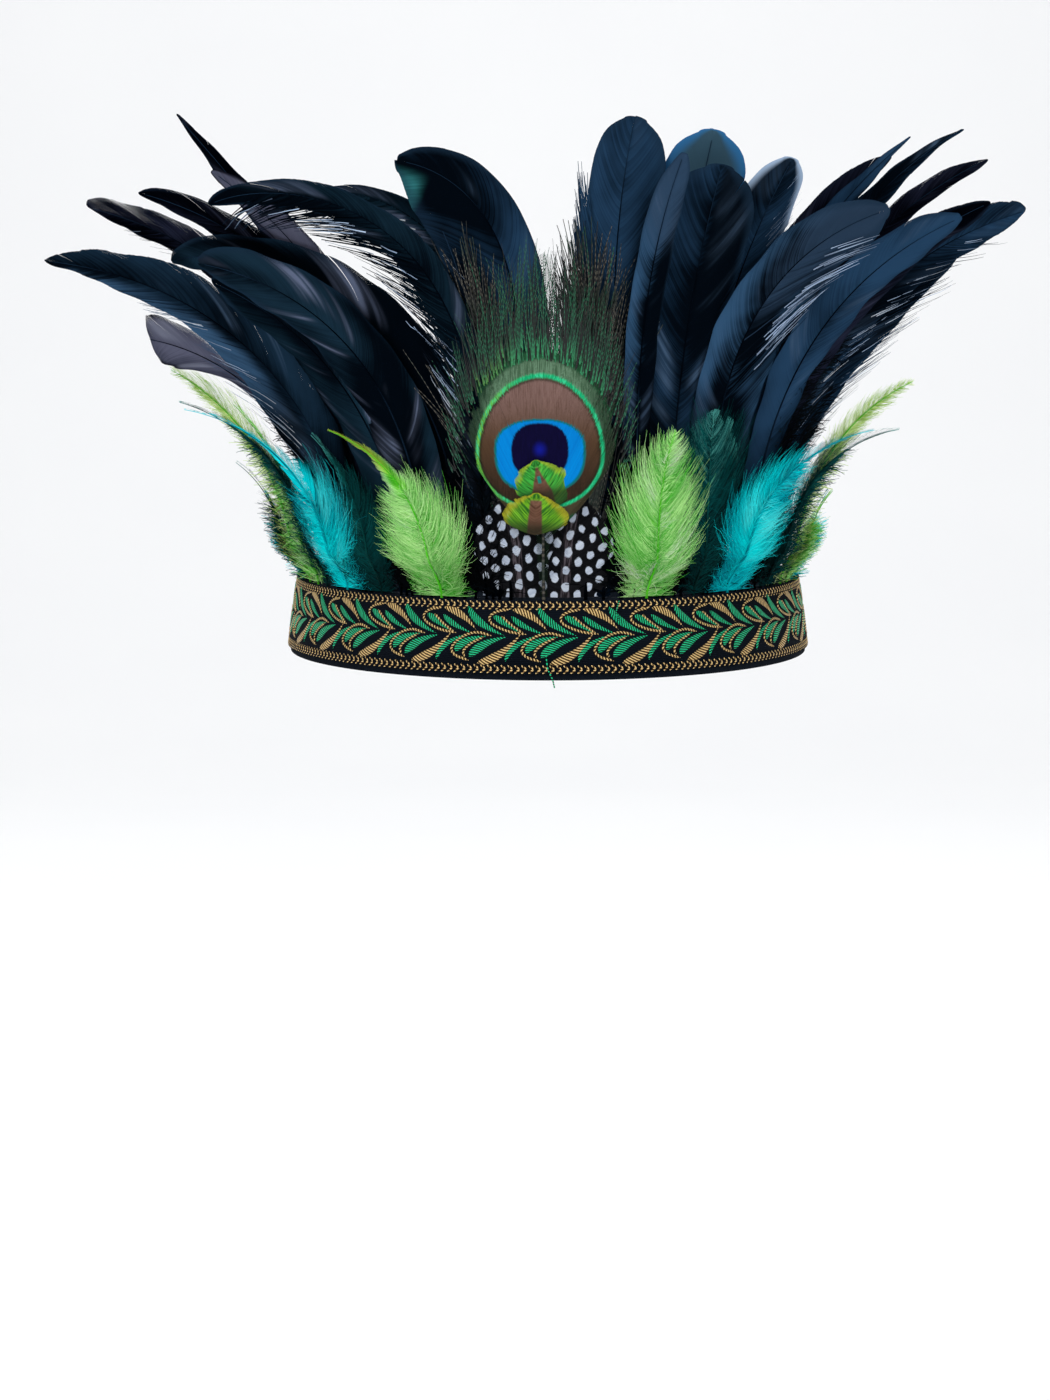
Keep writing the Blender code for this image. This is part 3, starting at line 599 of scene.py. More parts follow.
def vane(line, thin=None):
    """Barbs of a feather, each a strip that reaches under the next, parted into locks."""
    style = VANES[line.feather.kind]
    rng = line.rng
    phase = line.seed * 40
    for side, wide in zip((-1, 1), line.widen):
        barbs = Barbs(line, style, side, style.barbs, wide)
        cuts = [0]
        while cuts[-1] < style.barbs:
            lock = style.lock * rng.uniform(*LOCK_SPREAD)
            cuts.append(cuts[-1] + max(FEWEST_IN_LOCK, int(round(lock / barbs.pitch))))
        cuts[-1] = style.barbs + 1
        lock_of = np.repeat(np.arange(len(cuts) - 1), np.diff(cuts))
        count = lock_of[-1] + 1
        centre = np.array([barbs.run[lock_of == number].mean() for number in range(count)])
        lock_long = 1 - style.ragged * rng.uniform(0, 1, count)
        lock_lift = style.lift * rng.uniform(-1, 1, count)
        lock_tone = rng.uniform(0, 1, count)
        shift = style.clump * (centre[lock_of] - barbs.run) * rng.uniform(0.4, 1.5, count)[lock_of]
        own = 1 - 0.35 * style.ragged * rng.uniform(0, 1, style.barbs + 1)

        step = np.linspace(0, 1, style.steps + 1)[None]
        bend = step * (lock_long[lock_of] * own)[:, None]
        across = side * barbs.width[:, None] * (1 - (1 - bend) ** 1.12)
        run = barbs.root[:, None] + (barbs.run - barbs.root)[:, None] * bend ** 1.3
        run = run + shift[:, None] * step ** 2
        wave = np.sin(barbs.run[:, None] * 2 * np.pi / LONG_WAVE + phase)
        wave = wave + SHORT_WAVE_SHARE * np.sin(barbs.run[:, None] * 2 * np.pi / SHORT_WAVE + 2 * phase)
        proud = -style.cup * barbs.half * (np.abs(across) / max(barbs.half, 1e-6)) ** 2
        proud = proud + style.ripple * wave * step ** 1.5 + lock_lift[lock_of][:, None] * step ** 1.5
        middle, up = line.face(run, across, proud)

        gap = np.diff(middle, axis=0)
        same = (lock_of[1:] == lock_of[:-1])[:, None, None]
        before = np.concatenate([gap[:1], gap[:-1]])
        gap = np.where(same, gap, before)
        size = np.linalg.norm(gap, axis=-1, keepdims=True)
        gap = gap * np.minimum(1, style.cap / np.maximum(size, 1e-9)) * OVERLAP
        narrow = (1 - style.narrow * smooth((step - NARROW_FROM) / NARROW_RUN))[..., None]
        if thin:
            narrow = narrow * thin(run, across)[:-1][..., None]
        left = middle[:-1] + up[:-1] * style.tilt * size * 0.5
        right = left + gap * narrow - up[:-1] * style.tilt * size
        tone = 0.5 * lock_tone[lock_of][:-1] + 0.5 * rng.uniform(0, 1, style.barbs)
        look = (barbs.share[:-1], step, tone, line.seed)
        line.mesh.grid(np.stack([left, right], 2), look, (run[:-1], across[:-1]), BARBS)


# Places along an outline from which the stray barbs are picked.
STRAY_PLACES = 400


def stray(line, style, count, long, width, kind, wild, curl, rise=0.0012, sides=(-1, 1), steps=5,
          span=(0.0, 1.0), least=0.0, start=0.0, widen=(1.0, 1.0)):
    """Loose barbs over a vane, each straying from its place and reaching past the outline."""
    rng = line.rng
    step = np.linspace(start, 1, steps + 1)[None]
    for side in sides:
        barbs = Barbs(line, style, side, STRAY_PLACES, widen[side > 0])
        pick = rng.uniform(span[0], span[1], count) * (STRAY_PLACES - 1)
        end_run, end_width, root, share = [
            np.interp(pick, np.arange(STRAY_PLACES + 1), row)
            for row in (barbs.run, barbs.width, barbs.root, barbs.share)
        ]
        reach = rng.uniform(long[0], long[1], count)
        wide = (end_width * reach + least * rng.uniform(0.3, 1, count))[:, None]
        across = side * wide * (1 - (1 - step) ** 1.25)
        run = root[:, None] + (end_run - root)[:, None] * reach[:, None] * step ** 1.2
        run = run + rng.normal(0, wild, count)[:, None] * wide * step ** 1.3
        wobble = rng.normal(0, curl, (count, steps + 1)).cumsum(1) * step
        run = np.clip(run + wobble * wide * 0.25, LOWEST_RUN, line.length * 1.1)
        across = across + side * rng.normal(0, curl, (count, steps + 1)).cumsum(1) * step * wide * 0.12
        height = rng.uniform(-0.4, 1.0, count)[:, None] * rise * (0.3 + step)
        thin = width * rng.uniform(0.6, 1.2, (count, 1)) * (1 - 0.75 * step)
        look = (share, step, rng.uniform(0, 1, count), line.seed)
        strands(line, run, across, height, thin, look, kind)


def walk(heading, pace):
    """Way forward and to the side of strands that set out at a heading and turn at each step."""
    start = np.zeros((len(heading), 1))
    forward = np.concatenate([start, np.cumsum(np.cos(heading[:, 1:]) * pace, 1)], 1)
    aside = np.concatenate([start, np.cumsum(np.sin(heading[:, 1:]) * pace, 1)], 1)
    return forward, aside


def fluff(line, low, high, count, long, width, angle, kind=DOWN, rise=0.003, curl=1.6, steps=5, taper=0.6,
          least=0.45):
    """Loose barbs from a stretch of the shaft, each curling its own way."""
    rng = line.rng
    root = low + (high - low) * rng.uniform(0, 1, count)
    side = rng.choice((-1, 1), count)
    heading = np.radians(rng.uniform(angle[0], angle[1], count))
    length = long * rng.uniform(least, 1.0, count) * (1 - taper * (root - low) / max(high - low, 1e-6))
    turn = rng.normal(0, curl, count) - 0.3 * curl
    wobble = rng.normal(0, 0.22 * curl, (count, steps + 1)).cumsum(1)
    step = np.linspace(0, 1, steps + 1)[None]
    heading = heading[:, None] + turn[:, None] * step ** 1.3 + wobble * 0.35
    forward, aside = walk(heading, length[:, None] / steps)
    run = np.maximum(root[:, None] + forward, LOWEST_RUN)
    proud = rng.uniform(-0.4, 1.0, count)[:, None] * rise * step ** 1.2
    thin = width * (1 - 0.6 * step) * np.ones((count, 1))
    look = (root / line.length, step, rng.uniform(0, 1, count), line.seed)
    strands(line, run, side[:, None] * aside, proud, thin, look, kind)


def reckoned(operation, swapped=False):
    """Method of a wire for one operation of the math node."""
    def method(self, other=0.0):
        return self.paint.math(operation, *((other, self) if swapped else (self, other)))
    return method


class Wire:
    """Output of a shader node that can be reckoned with as a number."""

    def __init__(self, paint, socket):
        self.paint = paint
        self.socket = socket

    __add__ = reckoned("ADD")
    __sub__ = reckoned("SUBTRACT")
    __rsub__ = reckoned("SUBTRACT", swapped=True)
    __mul__ = reckoned("MULTIPLY")
    __truediv__ = reckoned("DIVIDE")
    __pow__ = reckoned("POWER")
    above = reckoned("GREATER_THAN")
    absolute = reckoned("ABSOLUTE")
    sine = reckoned("SINE")


class Paint:
    """Builds a procedural material round one Principled shader."""

    def __init__(self, name, roughness=0.5, **sockets):
        self.material = bpy.data.materials.new(name)
        self.material.use_nodes = True
        self.tree = self.material.node_tree
        self.shader = self.tree.nodes["Principled BSDF"]
        self.shader.inputs["Roughness"].default_value = roughness
        for socket, value in sockets.items():
            self.shader.inputs[socket.replace("_", " ")].default_value = value

    def join(self, value, socket):
        """Puts a wire, a colour or a number into a socket."""
        if isinstance(value, Wire):
            self.tree.links.new(value.socket, socket)
        elif isinstance(value, tuple) and len(value) == 3 and socket.type == "RGBA":
            socket.default_value = (*value, 1)
        else:
            socket.default_value = value

    def node(self, kind, values, output=0, **settings):
        """Adds a shader node with its inputs and settings, and gives one of its outputs."""
        node = self.tree.nodes.new("ShaderNode" + kind)
        for setting, value in settings.items():
            setattr(node, setting, value)
        for socket, value in values.items():
            self.join(value, node.inputs[socket])
        return Wire(self, node.outputs[output])

    def math(self, operation, first, second=0.0):
        return self.node("Math", {0: first, 1: second}, operation=operation)

    def looks(self):
        """Share along the feather, share across it, a number of the barb's own and one of the feather's."""
        node = self.tree.nodes.new("ShaderNodeVertexColor")
        node.layer_name = "look"
        split = self.tree.nodes.new("ShaderNodeSeparateColor")
        self.tree.links.new(node.outputs["Color"], split.inputs[0])
        return [Wire(self, socket) for socket in (*split.outputs, node.outputs["Alpha"])]

    def lays(self):
        """Run along the feather and distance to its side, in metres."""
        node = self.tree.nodes.new("ShaderNodeUVMap")
        node.uv_map = "lay"
        split = self.tree.nodes.new("ShaderNodeSeparateXYZ")
        self.tree.links.new(node.outputs[0], split.inputs[0])
        return Wire(self, split.outputs[0]), Wire(self, split.outputs[1])

    def vector(self, x, y, z=0.0):
        return self.node("CombineXYZ", {0: x, 1: y, 2: z})

    def place(self):
        """Place in the object's own space."""
        return self.node("TexCoord", {}, "Object")

    def noise(self, vector, scale, detail=2.0):
        return self.node("TexNoise", {"Vector": vector, "Scale": scale, "Detail": detail})

    def grain(self, x, y, z=0.0, detail=2.0):
        """Noise over measures of the feather's own."""
        return self.noise(self.vector(x, y, z), 1.0, detail)

    def step(self, value, low, high):
        """Rises smoothly from 0 to 1 between two values."""
        values = {"Value": value, "From Min": low, "From Max": high}
        return self.node("MapRange", values, interpolation_type="SMOOTHSTEP")

    def mix(self, share, first, second, mode="MIX"):
        """Mixes two colours, or blends the second with the first in another mode."""
        return self.node("Mix", {0: share, 6: first, 7: second}, 2, data_type="RGBA", blend_type=mode)

    def shaded(self, colour, tone):
        """Colour made darker by a tone below 1."""
        return self.mix(1.0, colour, self.vector(tone, tone, tone), "MULTIPLY")

    def set(self, socket, value):
        self.join(value, self.shader.inputs[socket])

    def bump(self, height, distance, strength=1.0):
        values = {"Height": height, "Distance": distance, "Strength": strength}
        self.set("Normal", self.node("Bump", values))


# Materials of the feathers. Their paints reckon lengths in millimetres, of which a metre has so many.
MILLI = 1000.0


def barb_paint(name, dark, light, streak, roughness, gloss=0.2, tint=(1.0, 1.0, 1.0), streaks=0.7, deep=0.35,
               broad=0.0, fine_sheen=0.0, lit_side=0.0, pale=None, rim=None, rim_share=0.55, flank=None,
               tip=None, tip_from=0.92, tip_side=0.0, tip_run=0.0):
    """Barbs that differ a little from one to the next, with painted broad lights and painted sheen highlights
    along them.
    """
    paint = Paint(name, roughness, Specular_IOR_Level=gloss, Specular_Tint=(*tint, 1))
    along, across, own, seed = paint.looks()
    run, side = paint.lays()
    drift = paint.noise(paint.place(), 60.0)
    # Broad patches of painted light, which broad mixes into the tone.
    lit_patches = paint.grain(along * 2.4 + seed * 40.0, side * 42.0 + seed * 17.0, seed * 5.0, detail=1.0)
    tone = own * (0.55 - 0.4 * broad) + drift * (0.7 - 0.45 * broad) + (lit_patches * 1.6 - 0.45) * broad
    # Painted light on one half of the vane and painted shade on the other, as the light falls across it;
    # lit_side gives the lit half.
    if lit_side:
        lit_half = paint.step(side * (MILLI * lit_side) + drift * 5.0, -3.0, 12.0)
        tone = tone * 1.25 - 0.16 + lit_half * 0.42 - 0.18
    # Dark to light by the tone, which is partly random and partly painted broad light.
    colour = paint.mix(paint.step(tone, 0.3 + 0.12 * broad, 0.88), dark, light)
    # Painted sheen: highlight streaks along the barbs in the streak colour, kept off the barbs' roots and
    # ends.
    band = paint.grain(along * 8.0 + seed * 50.0, side * 24.0 + side.above(0.0) * 7.0, seed * 9.0)
    inner = paint.step(across, 0.04, 0.35) * (1.25 - paint.step(across, 0.7, 1.05))
    lit = paint.step(band, 0.52, 0.78) * inner
    # This breaks the painted sheen into fine lines.
    if fine_sheen:
        fine = paint.grain(along * 60.0 + seed * 30.0, side * 45.0, seed * 3.0)
        lit = lit * (1.0 - fine_sheen) + lit * paint.step(fine, 0.42, 0.66) * (fine_sheen * 2.0)
    colour = paint.mix(lit * streaks, colour, streak)
    # Painted light towards the barbs' thin ends, which are made paler than their roots.
    if pale:
        colour = paint.mix(paint.step(across + own * 0.3, 0.45, 1.25) * 0.75, colour, pale)
    # A tip of another colour: the lime feather's own olive tip, and painted light on the tips of the black
    # and teal feathers.
    if tip:
        tipped = paint.step(along + own * 0.1 + drift * 0.2, tip_from, tip_from + 0.18) * 0.85
        if tip_side:
            tipped = tipped * paint.step(side * (MILLI * tip_side), 1.0, 8.0)
            tipped = tipped * paint.step(run * MILLI + drift * 6.0, tip_run, tip_run + 7.0)
        colour = paint.mix(tipped, colour, tip)
    # Colour along the vane's outer edge: painted light through the thin edge on the backlit and teal
    # feathers, and a plain edge colour on the others.
    if rim:
        edge = paint.step(across + along * 0.25, 0.98, 1.22) * paint.step(along, 0.35, 0.9)
        colour = paint.mix(edge * rim_share, colour, rim)
    # Painted blue sheen on the left flank, high up the feather where the sheen noise is strong.
    if flank:
        far = paint.step(side * -MILLI + drift * 3.0, 2.5, 8.5) * paint.step(band + own * 0.4, 0.5, 0.85)
        colour = paint.mix(far * paint.step(run * MILLI, 62.0, 92.0), colour, flank)
    # Painted shade towards the feather's foot: deep is the brightness that is left there.
    shade = paint.step(along + drift * 0.3, 0.12, 0.72) * (1.0 - deep) + deep
    paint.set("Base Color", paint.shaded(colour, shade))
    paint.set("Roughness", own * 0.14 + (roughness - 0.07) - paint.step(band, 0.5, 0.75) * 0.08)
    return paint


# Black barbs of the many kinds: dark, light and streak colours, and what else sets them apart. The light
# colour shows where broad light is painted, and the streak colour is painted sheen.
BLUE_GLOSS = (0.55, 0.78, 1.0)
BLACK = dict(roughness=0.45, gloss=0.0, tint=BLUE_GLOSS, deep=0.06, broad=0.9, fine_sheen=0.6)
BLACK_DARK = (0.001, 0.0026, 0.0052)
BLACK_LIGHT = (0.019, 0.056, 0.118)
BLACK_SHEEN = (0.072, 0.125, 0.21)
DARK_RIM = (0.012, 0.03, 0.058)


def black_paint(name, light=BLACK_LIGHT, streak=BLACK_SHEEN, **more):
    return barb_paint(name, BLACK_DARK, light, streak, **{**BLACK, "rim": DARK_RIM, **more})


black = black_paint("black_barbs", streaks=0.5)
# Stronger painted sheen streaks on the black.
satin = black_paint("sheen_streaked_black_barbs", (0.01, 0.03, 0.052), (0.13, 0.16, 0.25), streaks=1.0)
# Left half painted lit and right half in painted shade, with a duller tip.
left_lit = black_paint("left_lit_barbs", (0.032, 0.086, 0.17), (0.085, 0.14, 0.24), streaks=0.6, deep=0.2,
                       lit_side=-1.0, tip=(0.026, 0.052, 0.096))
dim = black_paint("dim_black_barbs", (0.008, 0.026, 0.044), (0.11, 0.145, 0.23), streaks=1.0)
# Painted teal sheen on the left of the curled tip, above a run of 156 mm.
curled = black_paint("teal_lit_tip_barbs", streaks=0.6, tip=(0.04, 0.24, 0.25), tip_from=0.98, tip_side=-1.0,
                     tip_run=156.0)
# Painted light through the thin tip, and a painted blue light along the edge.
backlit_tip = black_paint("backlit_tip_barbs", streaks=0.75, tip=(0.045, 0.1, 0.145), rim=(0.03, 0.17, 0.4),
                        rim_share=0.8)
# Painted pale light through the thin edge of the vane.
backlit_rim = black_paint("backlit_rim_barbs", streaks=0.75, rim=(0.42, 0.56, 0.76), rim_share=0.8)
# Painted blue sheen on the left flank, high up the feather.
blue_flank = black_paint("blue_flanked_barbs", (0.009, 0.026, 0.05), streaks=0.6, rim=None,
                         flank=(0.038, 0.092, 0.175))
violet = barb_paint("violet_black_barbs", (0.0006, 0.001, 0.0026), (0.017, 0.021, 0.044), (0.07, 0.08, 0.14),
                    0.5, gloss=0.0, tint=BLUE_GLOSS, streaks=0.6, deep=0.12, broad=0.7, fine_sheen=0.6,
                    rim=(0.01, 0.018, 0.034))
grey = barb_paint("grey_barbs", (0.03, 0.033, 0.055), (0.115, 0.12, 0.18), (0.27, 0.29, 0.38), 0.5,
                  gloss=0.0, tint=(0.8, 0.88, 1.0), deep=0.3, broad=0.8, rim=(0.004, 0.004, 0.008),
                  rim_share=0.95)
# Painted glints of the loose barbs that catch the light.
glint = barb_paint("lit_barbs", (0.02, 0.04, 0.08), (0.42, 0.55, 0.76), (0.86, 0.93, 1.0), 0.45, gloss=0.05,
                    streaks=0.9, deep=0.6)
down = barb_paint("black_down", (0.0004, 0.0009, 0.0016), (0.002, 0.0042, 0.007), (0.003, 0.01, 0.014), 0.8,
                  gloss=0.02)
shaft = barb_paint("black_shafts", (0.0006, 0.0016, 0.0036), (0.012, 0.03, 0.06), (0.02, 0.04, 0.07), 0.5,
                   gloss=0.0, streaks=0.3, deep=0.06, broad=0.9)
# The lime paints' streak colours are painted highlights and their pale colours painted light at the barbs'
# ends.
lime = barb_paint("lime_barbs", (0.04, 0.42, 0.016), (0.37, 1.0, 0.16), (0.46, 1.0, 0.26), 0.7, gloss=0.02,
                  pale=(0.66, 1.0, 0.5), deep=0.7, streaks=0.6, broad=0.4)
lime_down = barb_paint("lime_down", (0.05, 0.5, 0.022), (0.6, 1.0, 0.38), (1.0, 1.0, 0.9), 0.8, gloss=0.02,
                       deep=0.8, broad=0.4)
lime_shaft = barb_paint("lime_shafts", (0.03, 0.34, 0.004), (0.1, 0.62, 0.015), (0.42, 0.9, 0.2), 0.5,
                        gloss=0.1, deep=1.0)
pale_lime = barb_paint("pale_lime_barbs", (0.24, 0.48, 0.05), (0.66, 0.84, 0.3), (0.86, 0.98, 0.56), 0.8,
                       gloss=0.03, deep=0.7)
olive = barb_paint("olive_tipped_barbs", (0.04, 0.38, 0.01), (0.3, 0.92, 0.09), (0.46, 1.0, 0.24), 0.7,
                   gloss=0.02, pale=(0.66, 1.0, 0.5), tip=(0.4, 0.48, 0.035), tip_from=0.75, deep=0.7,
                   streaks=0.6)
# Painted light along the edge and on the tip of the teal vane.
teal = barb_paint("teal_barbs", (0.0003, 0.01, 0.012), (0.003, 0.09, 0.082), (0.04, 0.3, 0.25), 0.55,
                  gloss=0.02, deep=0.22, fine_sheen=0.5, rim=(0.09, 0.46, 0.4), rim_share=0.8,
                  tip=(0.08, 0.38, 0.34), tip_from=0.98)
teal_down = barb_paint("teal_down", (0.0003, 0.012, 0.014), (0.001, 0.07, 0.07), (0.004, 0.16, 0.15), 0.8,
                       gloss=0.03, deep=0.55)
turquoise = barb_paint("turquoise_barbs", (0.0, 0.1, 0.15), (0.0, 0.92, 1.0), (0.08, 1.0, 1.0), 0.7,
                       gloss=0.02, deep=0.85, broad=0.5)
turquoise_down = barb_paint("turquoise_down", (0.0, 0.3, 0.4), (0.0, 0.98, 1.0), (0.12, 1.0, 1.0), 0.8,
                            gloss=0.02, deep=0.85, broad=0.5)


# Pitch of the beads on a loose peacock barb, in metres.
BEAD_PITCH = 0.0019


def bead_paint(name, gap, bead, glow, foot=None, dusk=0.3):
    """Loose peacock barbs, beaded along their length by their barbules, some of them left dark."""
    paint = Paint(name, 0.4, Specular_IOR_Level=0.4)
    _, across, own, _ = paint.looks()
    run, side = paint.lays()
    beads = ((run + own * 0.004) * (2 * math.pi / BEAD_PITCH)).sine() * 0.5 + 0.5
    drift = paint.noise(paint.place(), 90.0)
    colour = paint.mix(paint.step(beads * (own * 0.5 + 0.7), 0.42, 0.75), gap, bead)
    colour = paint.mix(paint.step(drift, 0.48, 0.66) * 0.75, colour, glow)
    if foot:
        low = 1.0 - paint.step(across + own * 0.35, 0.08, 0.55)
        foot = paint.mix(paint.step(side * MILLI, -18.0, -7.0), (0.15, 0.42, 0.05), foot)
        colour = paint.mix(low * (own * 0.75 + 0.1), colour, foot)
    colour = paint.mix(1.0 - paint.step(own, dusk - 0.05, dusk + 0.05), colour, (0.001, 0.0024, 0.0022))
    paint.set("Base Color", colour)
    return paint


herl = bead_paint("herl_barbs", (0.002, 0.0028, 0.0026), (0.085, 0.078, 0.06), (0.004, 0.022, 0.012))
green_herl = bead_paint("green_herl_barbs", (0.003, 0.04, 0.02), (0.008, 0.13, 0.058), (0.002, 0.022, 0.014),
                        foot=(0.035, 0.42, 0.15), dusk=0.42)

# Eye of the peacock feather, in metres: run and side of its centre, half width, and reach above and below.
EYE_RUN = 0.0497
EYE_ASIDE = -0.001
EYE_HALF = 0.0211
EYE_ABOVE = 0.0268
EYE_BELOW = 0.0186
# Where its barbs part into strands, as a share of the way to the ring, and how much narrower they get.
GAP_FROM = 1.24
GAP_RUN = 0.14
GAP_SHARE = 0.66
# Blue of the eye, its dark heart and the spot in it, in millimetres: height of their centres over the eye's,
# half widths, and reaches.
BLUE_UP = 1.2
BLUE_HALF = 14.8
BLUE_ABOVE = 10.4
BLUE_BELOW = 14.0
HEART_HALF = 9.5
HEART_TALL = 9.3
SPOT_UP = 1.5
SPOT_HALF = 2.6
SPOT_TALL = 3.0


def eye_ring(run, across):
    """Distance from the eye's centre as a share of the way to its ring."""
    up = run - EYE_RUN
    return np.hypot((across - EYE_ASIDE) / EYE_HALF, up / np.where(up > 0, EYE_ABOVE, EYE_BELOW))


def eye_gaps(run, across):
    """Width of the eye's barbs, closed within the ring and parted into strands outside it."""
    return 1 - GAP_SHARE * smooth((eye_ring(run, across) - GAP_FROM) / GAP_RUN)


def eye_paint():
    """Peacock eye, painted by the distance along the feather and to its side, in millimetres."""
    paint = Paint("peacock_eye_barbs", 0.5, Specular_IOR_Level=0.04)
    _, _, own, _ = paint.looks()
    run, side = paint.lays()
    wobble = paint.grain(run * 300.0, side * 900.0) - 0.5
    up = (run - EYE_RUN) * MILLI + wobble * 0.6
    out = (side - EYE_ASIDE) * MILLI + wobble * 0.3
    tall = up.above(0.0) * ((EYE_ABOVE - EYE_BELOW) * MILLI) + EYE_BELOW * MILLI
    egg = ((out / (EYE_HALF * MILLI)) ** 2.0 + (up.absolute() / tall) ** 2.0) ** 0.5
    grain = paint.grain(side * 2600.0, run * 160.0)

    left = paint.step(out, -22.0, -4.0)
    fringe = paint.mix(paint.step(up + grain * 12.0, 30.0, 44.0), (0.03, 0.34, 0.125), (0.003, 0.046, 0.024))
    flush = (1.0 - left) * paint.step(up, -12.0, 8.0) * (1.0 - paint.step(up, 24.0, 36.0))
    fringe = paint.mix(flush * 0.8, fringe, (0.13, 0.38, 0.045))
    tufts = paint.grain(side * 1100.0, run * 55.0, 3.0)
    fringe = paint.mix(paint.step(own * 0.25 + tufts, 0.52, 0.74) * 0.95, fringe, (0.0003, 0.004, 0.004))
    fringe = paint.mix(paint.step(out.absolute(), 15.0, 23.0) * 0.85, fringe, (0.004, 0.016, 0.008))
    fringe = paint.mix(paint.step(up, -8.0, 8.0), (0.006, 0.016, 0.008), fringe)
    dark_band = paint.mix(grain, (0.01, 0.06, 0.025), (0.03, 0.13, 0.055))
    fringe = paint.mix(paint.step(egg, 1.28, 1.38), dark_band, fringe)
    olive_band = paint.mix(paint.step(grain, 0.35, 0.65), (0.055, 0.115, 0.062), (0.13, 0.235, 0.145))
    olive_band = paint.mix(paint.step(up, -2.0, 14.0), (0.06, 0.048, 0.026), olive_band)
    olive_band = paint.mix(paint.step(out.absolute(), 12.0, 23.0) * 0.75, olive_band, (0.012, 0.036, 0.018))
    colour = paint.mix(paint.step(egg + grain * 0.05, 1.2, 1.26), olive_band, fringe)
    ring = paint.mix(left, (0.2, 0.62, 0.06), (0.008, 0.42, 0.16))
    ring = paint.mix(paint.step(own * 0.5 + grain, 0.65, 0.95), ring, (0.04, 0.62, 0.28))
    ring = paint.mix(paint.step(0.62 - grain, 0.14, 0.34) * 0.55, ring, (0.004, 0.12, 0.05))
    colour = paint.mix(1.0 - paint.step(egg + grain * 0.03, 1.02, 1.055), colour, ring)
    bronze = paint.mix(paint.step(up, 2.0, 24.0), (0.092, 0.05, 0.026), (0.215, 0.128, 0.112))
    bronze = paint.mix(paint.step(up, -14.0, 9.0), (0.028, 0.017, 0.01), bronze)
    bronze = paint.mix(paint.step(grain, 0.4, 0.7) * 0.45, bronze, (0.075, 0.036, 0.022))
    bronze = paint.mix(paint.step(egg, 0.91, 0.95) * 0.75, bronze, (0.02, 0.022, 0.012))
    colour = paint.mix(1.0 - paint.step(egg, 0.952, 0.982), colour, bronze)

    blue_up = up - BLUE_UP
    blue_tall = blue_up.above(0.0) * (BLUE_ABOVE - BLUE_BELOW) + BLUE_BELOW
    kidney = ((out / BLUE_HALF).absolute() ** 2.5 + (blue_up.absolute() / blue_tall) ** 2.5) ** 0.4
    colour = paint.mix(1.0 - paint.step(kidney, 1.01, 1.05), colour, (0.003, 0.15, 0.15))
    blue = paint.mix(own * 0.3 + grain * 0.3, (0.0, 0.175, 0.6), (0.0, 0.32, 0.74))
    colour = paint.mix(1.0 - paint.step(kidney, 0.95, 1.0), colour, blue)
    heart = ((out / HEART_HALF).absolute() ** 2.5 + (blue_up / HEART_TALL).absolute() ** 2.5) ** 0.4
    navy = paint.mix(grain, (0.0015, 0.001, 0.012), (0.004, 0.0025, 0.04))
    spot = ((out / SPOT_HALF) ** 2.0 + ((up - SPOT_UP) / SPOT_TALL) ** 2.0) ** 0.5
    navy = paint.mix(1.0 - paint.step(spot, 0.0, 1.2), navy, (0.005, 0.009, 0.26))
    colour = paint.mix(1.0 - paint.step(heart, 0.96, 1.03), colour, navy)
    paint.set("Base Color", paint.shaded(colour, own * 0.14 + 0.93))
    return paint


def scale_paint(name, tip, heart_top, heart_low, green_light, rim_light, speck):
    """Small green feather with a brown heart, by the distance below its tip in millimetres."""
    paint = Paint(name, 0.45, Specular_IOR_Level=0.15)
    along, across, own, seed = paint.looks()
    run, side = paint.lays()
    below = (tip - run) * MILLI
    out = (side * MILLI).absolute()
    rib = paint.grain(along * 75.0, across * 1.6, seed * 7.0)
    green = paint.mix(paint.step(rib, 0.36, 0.6), (0.01, 0.11, 0.008), green_light)
    green = paint.mix(paint.step(own, 0.55, 0.95) * 0.5, green, (0.3, 0.66, 0.05))
    rim = paint.mix(paint.step(across + rib * 0.3, 0.86, 1.1), green, rim_light)
    half = paint.step(below, 1.5, 13.0) * (heart_low - heart_top) + heart_top
    heart = paint.step(half - out + rib * 0.9 - 0.45, -0.35, 0.35) * paint.step(below, 1.6, 2.6)
    brown = paint.mix(paint.step(rib, 0.3, 0.7), (0.085, 0.036, 0.018), (0.185, 0.088, 0.055))
    teal_speck = paint.step(0.75 - out, 0.0, 0.3) * paint.step(1.5 - (below - speck).absolute(), 0.0, 0.5)
    colour = paint.mix(heart, rim, paint.mix(teal_speck, brown, (0.01, 0.22, 0.17)))
    # Painted shade over the lower part of the scale, towards its foot.
    colour = paint.mix(paint.step(below + rib * 5.0, 10.0, 15.0) * 0.85, colour, (0.012, 0.014, 0.005))
    paint.set("Base Color", paint.shaded(colour, own * 0.3 + 0.82))
    return paint


# White spots of the guinea fowl feathers: pitch of their columns and rows in metres, half width and half
# height as shares of the pitch, and a number of columns that keeps the count above zero.
SPOT_ASIDE = 0.0038
SPOT_ALONG = 0.006
SPOT_WIDE = 0.35
SPOT_HIGH = 0.29
SPOT_COLUMNS = 20.5


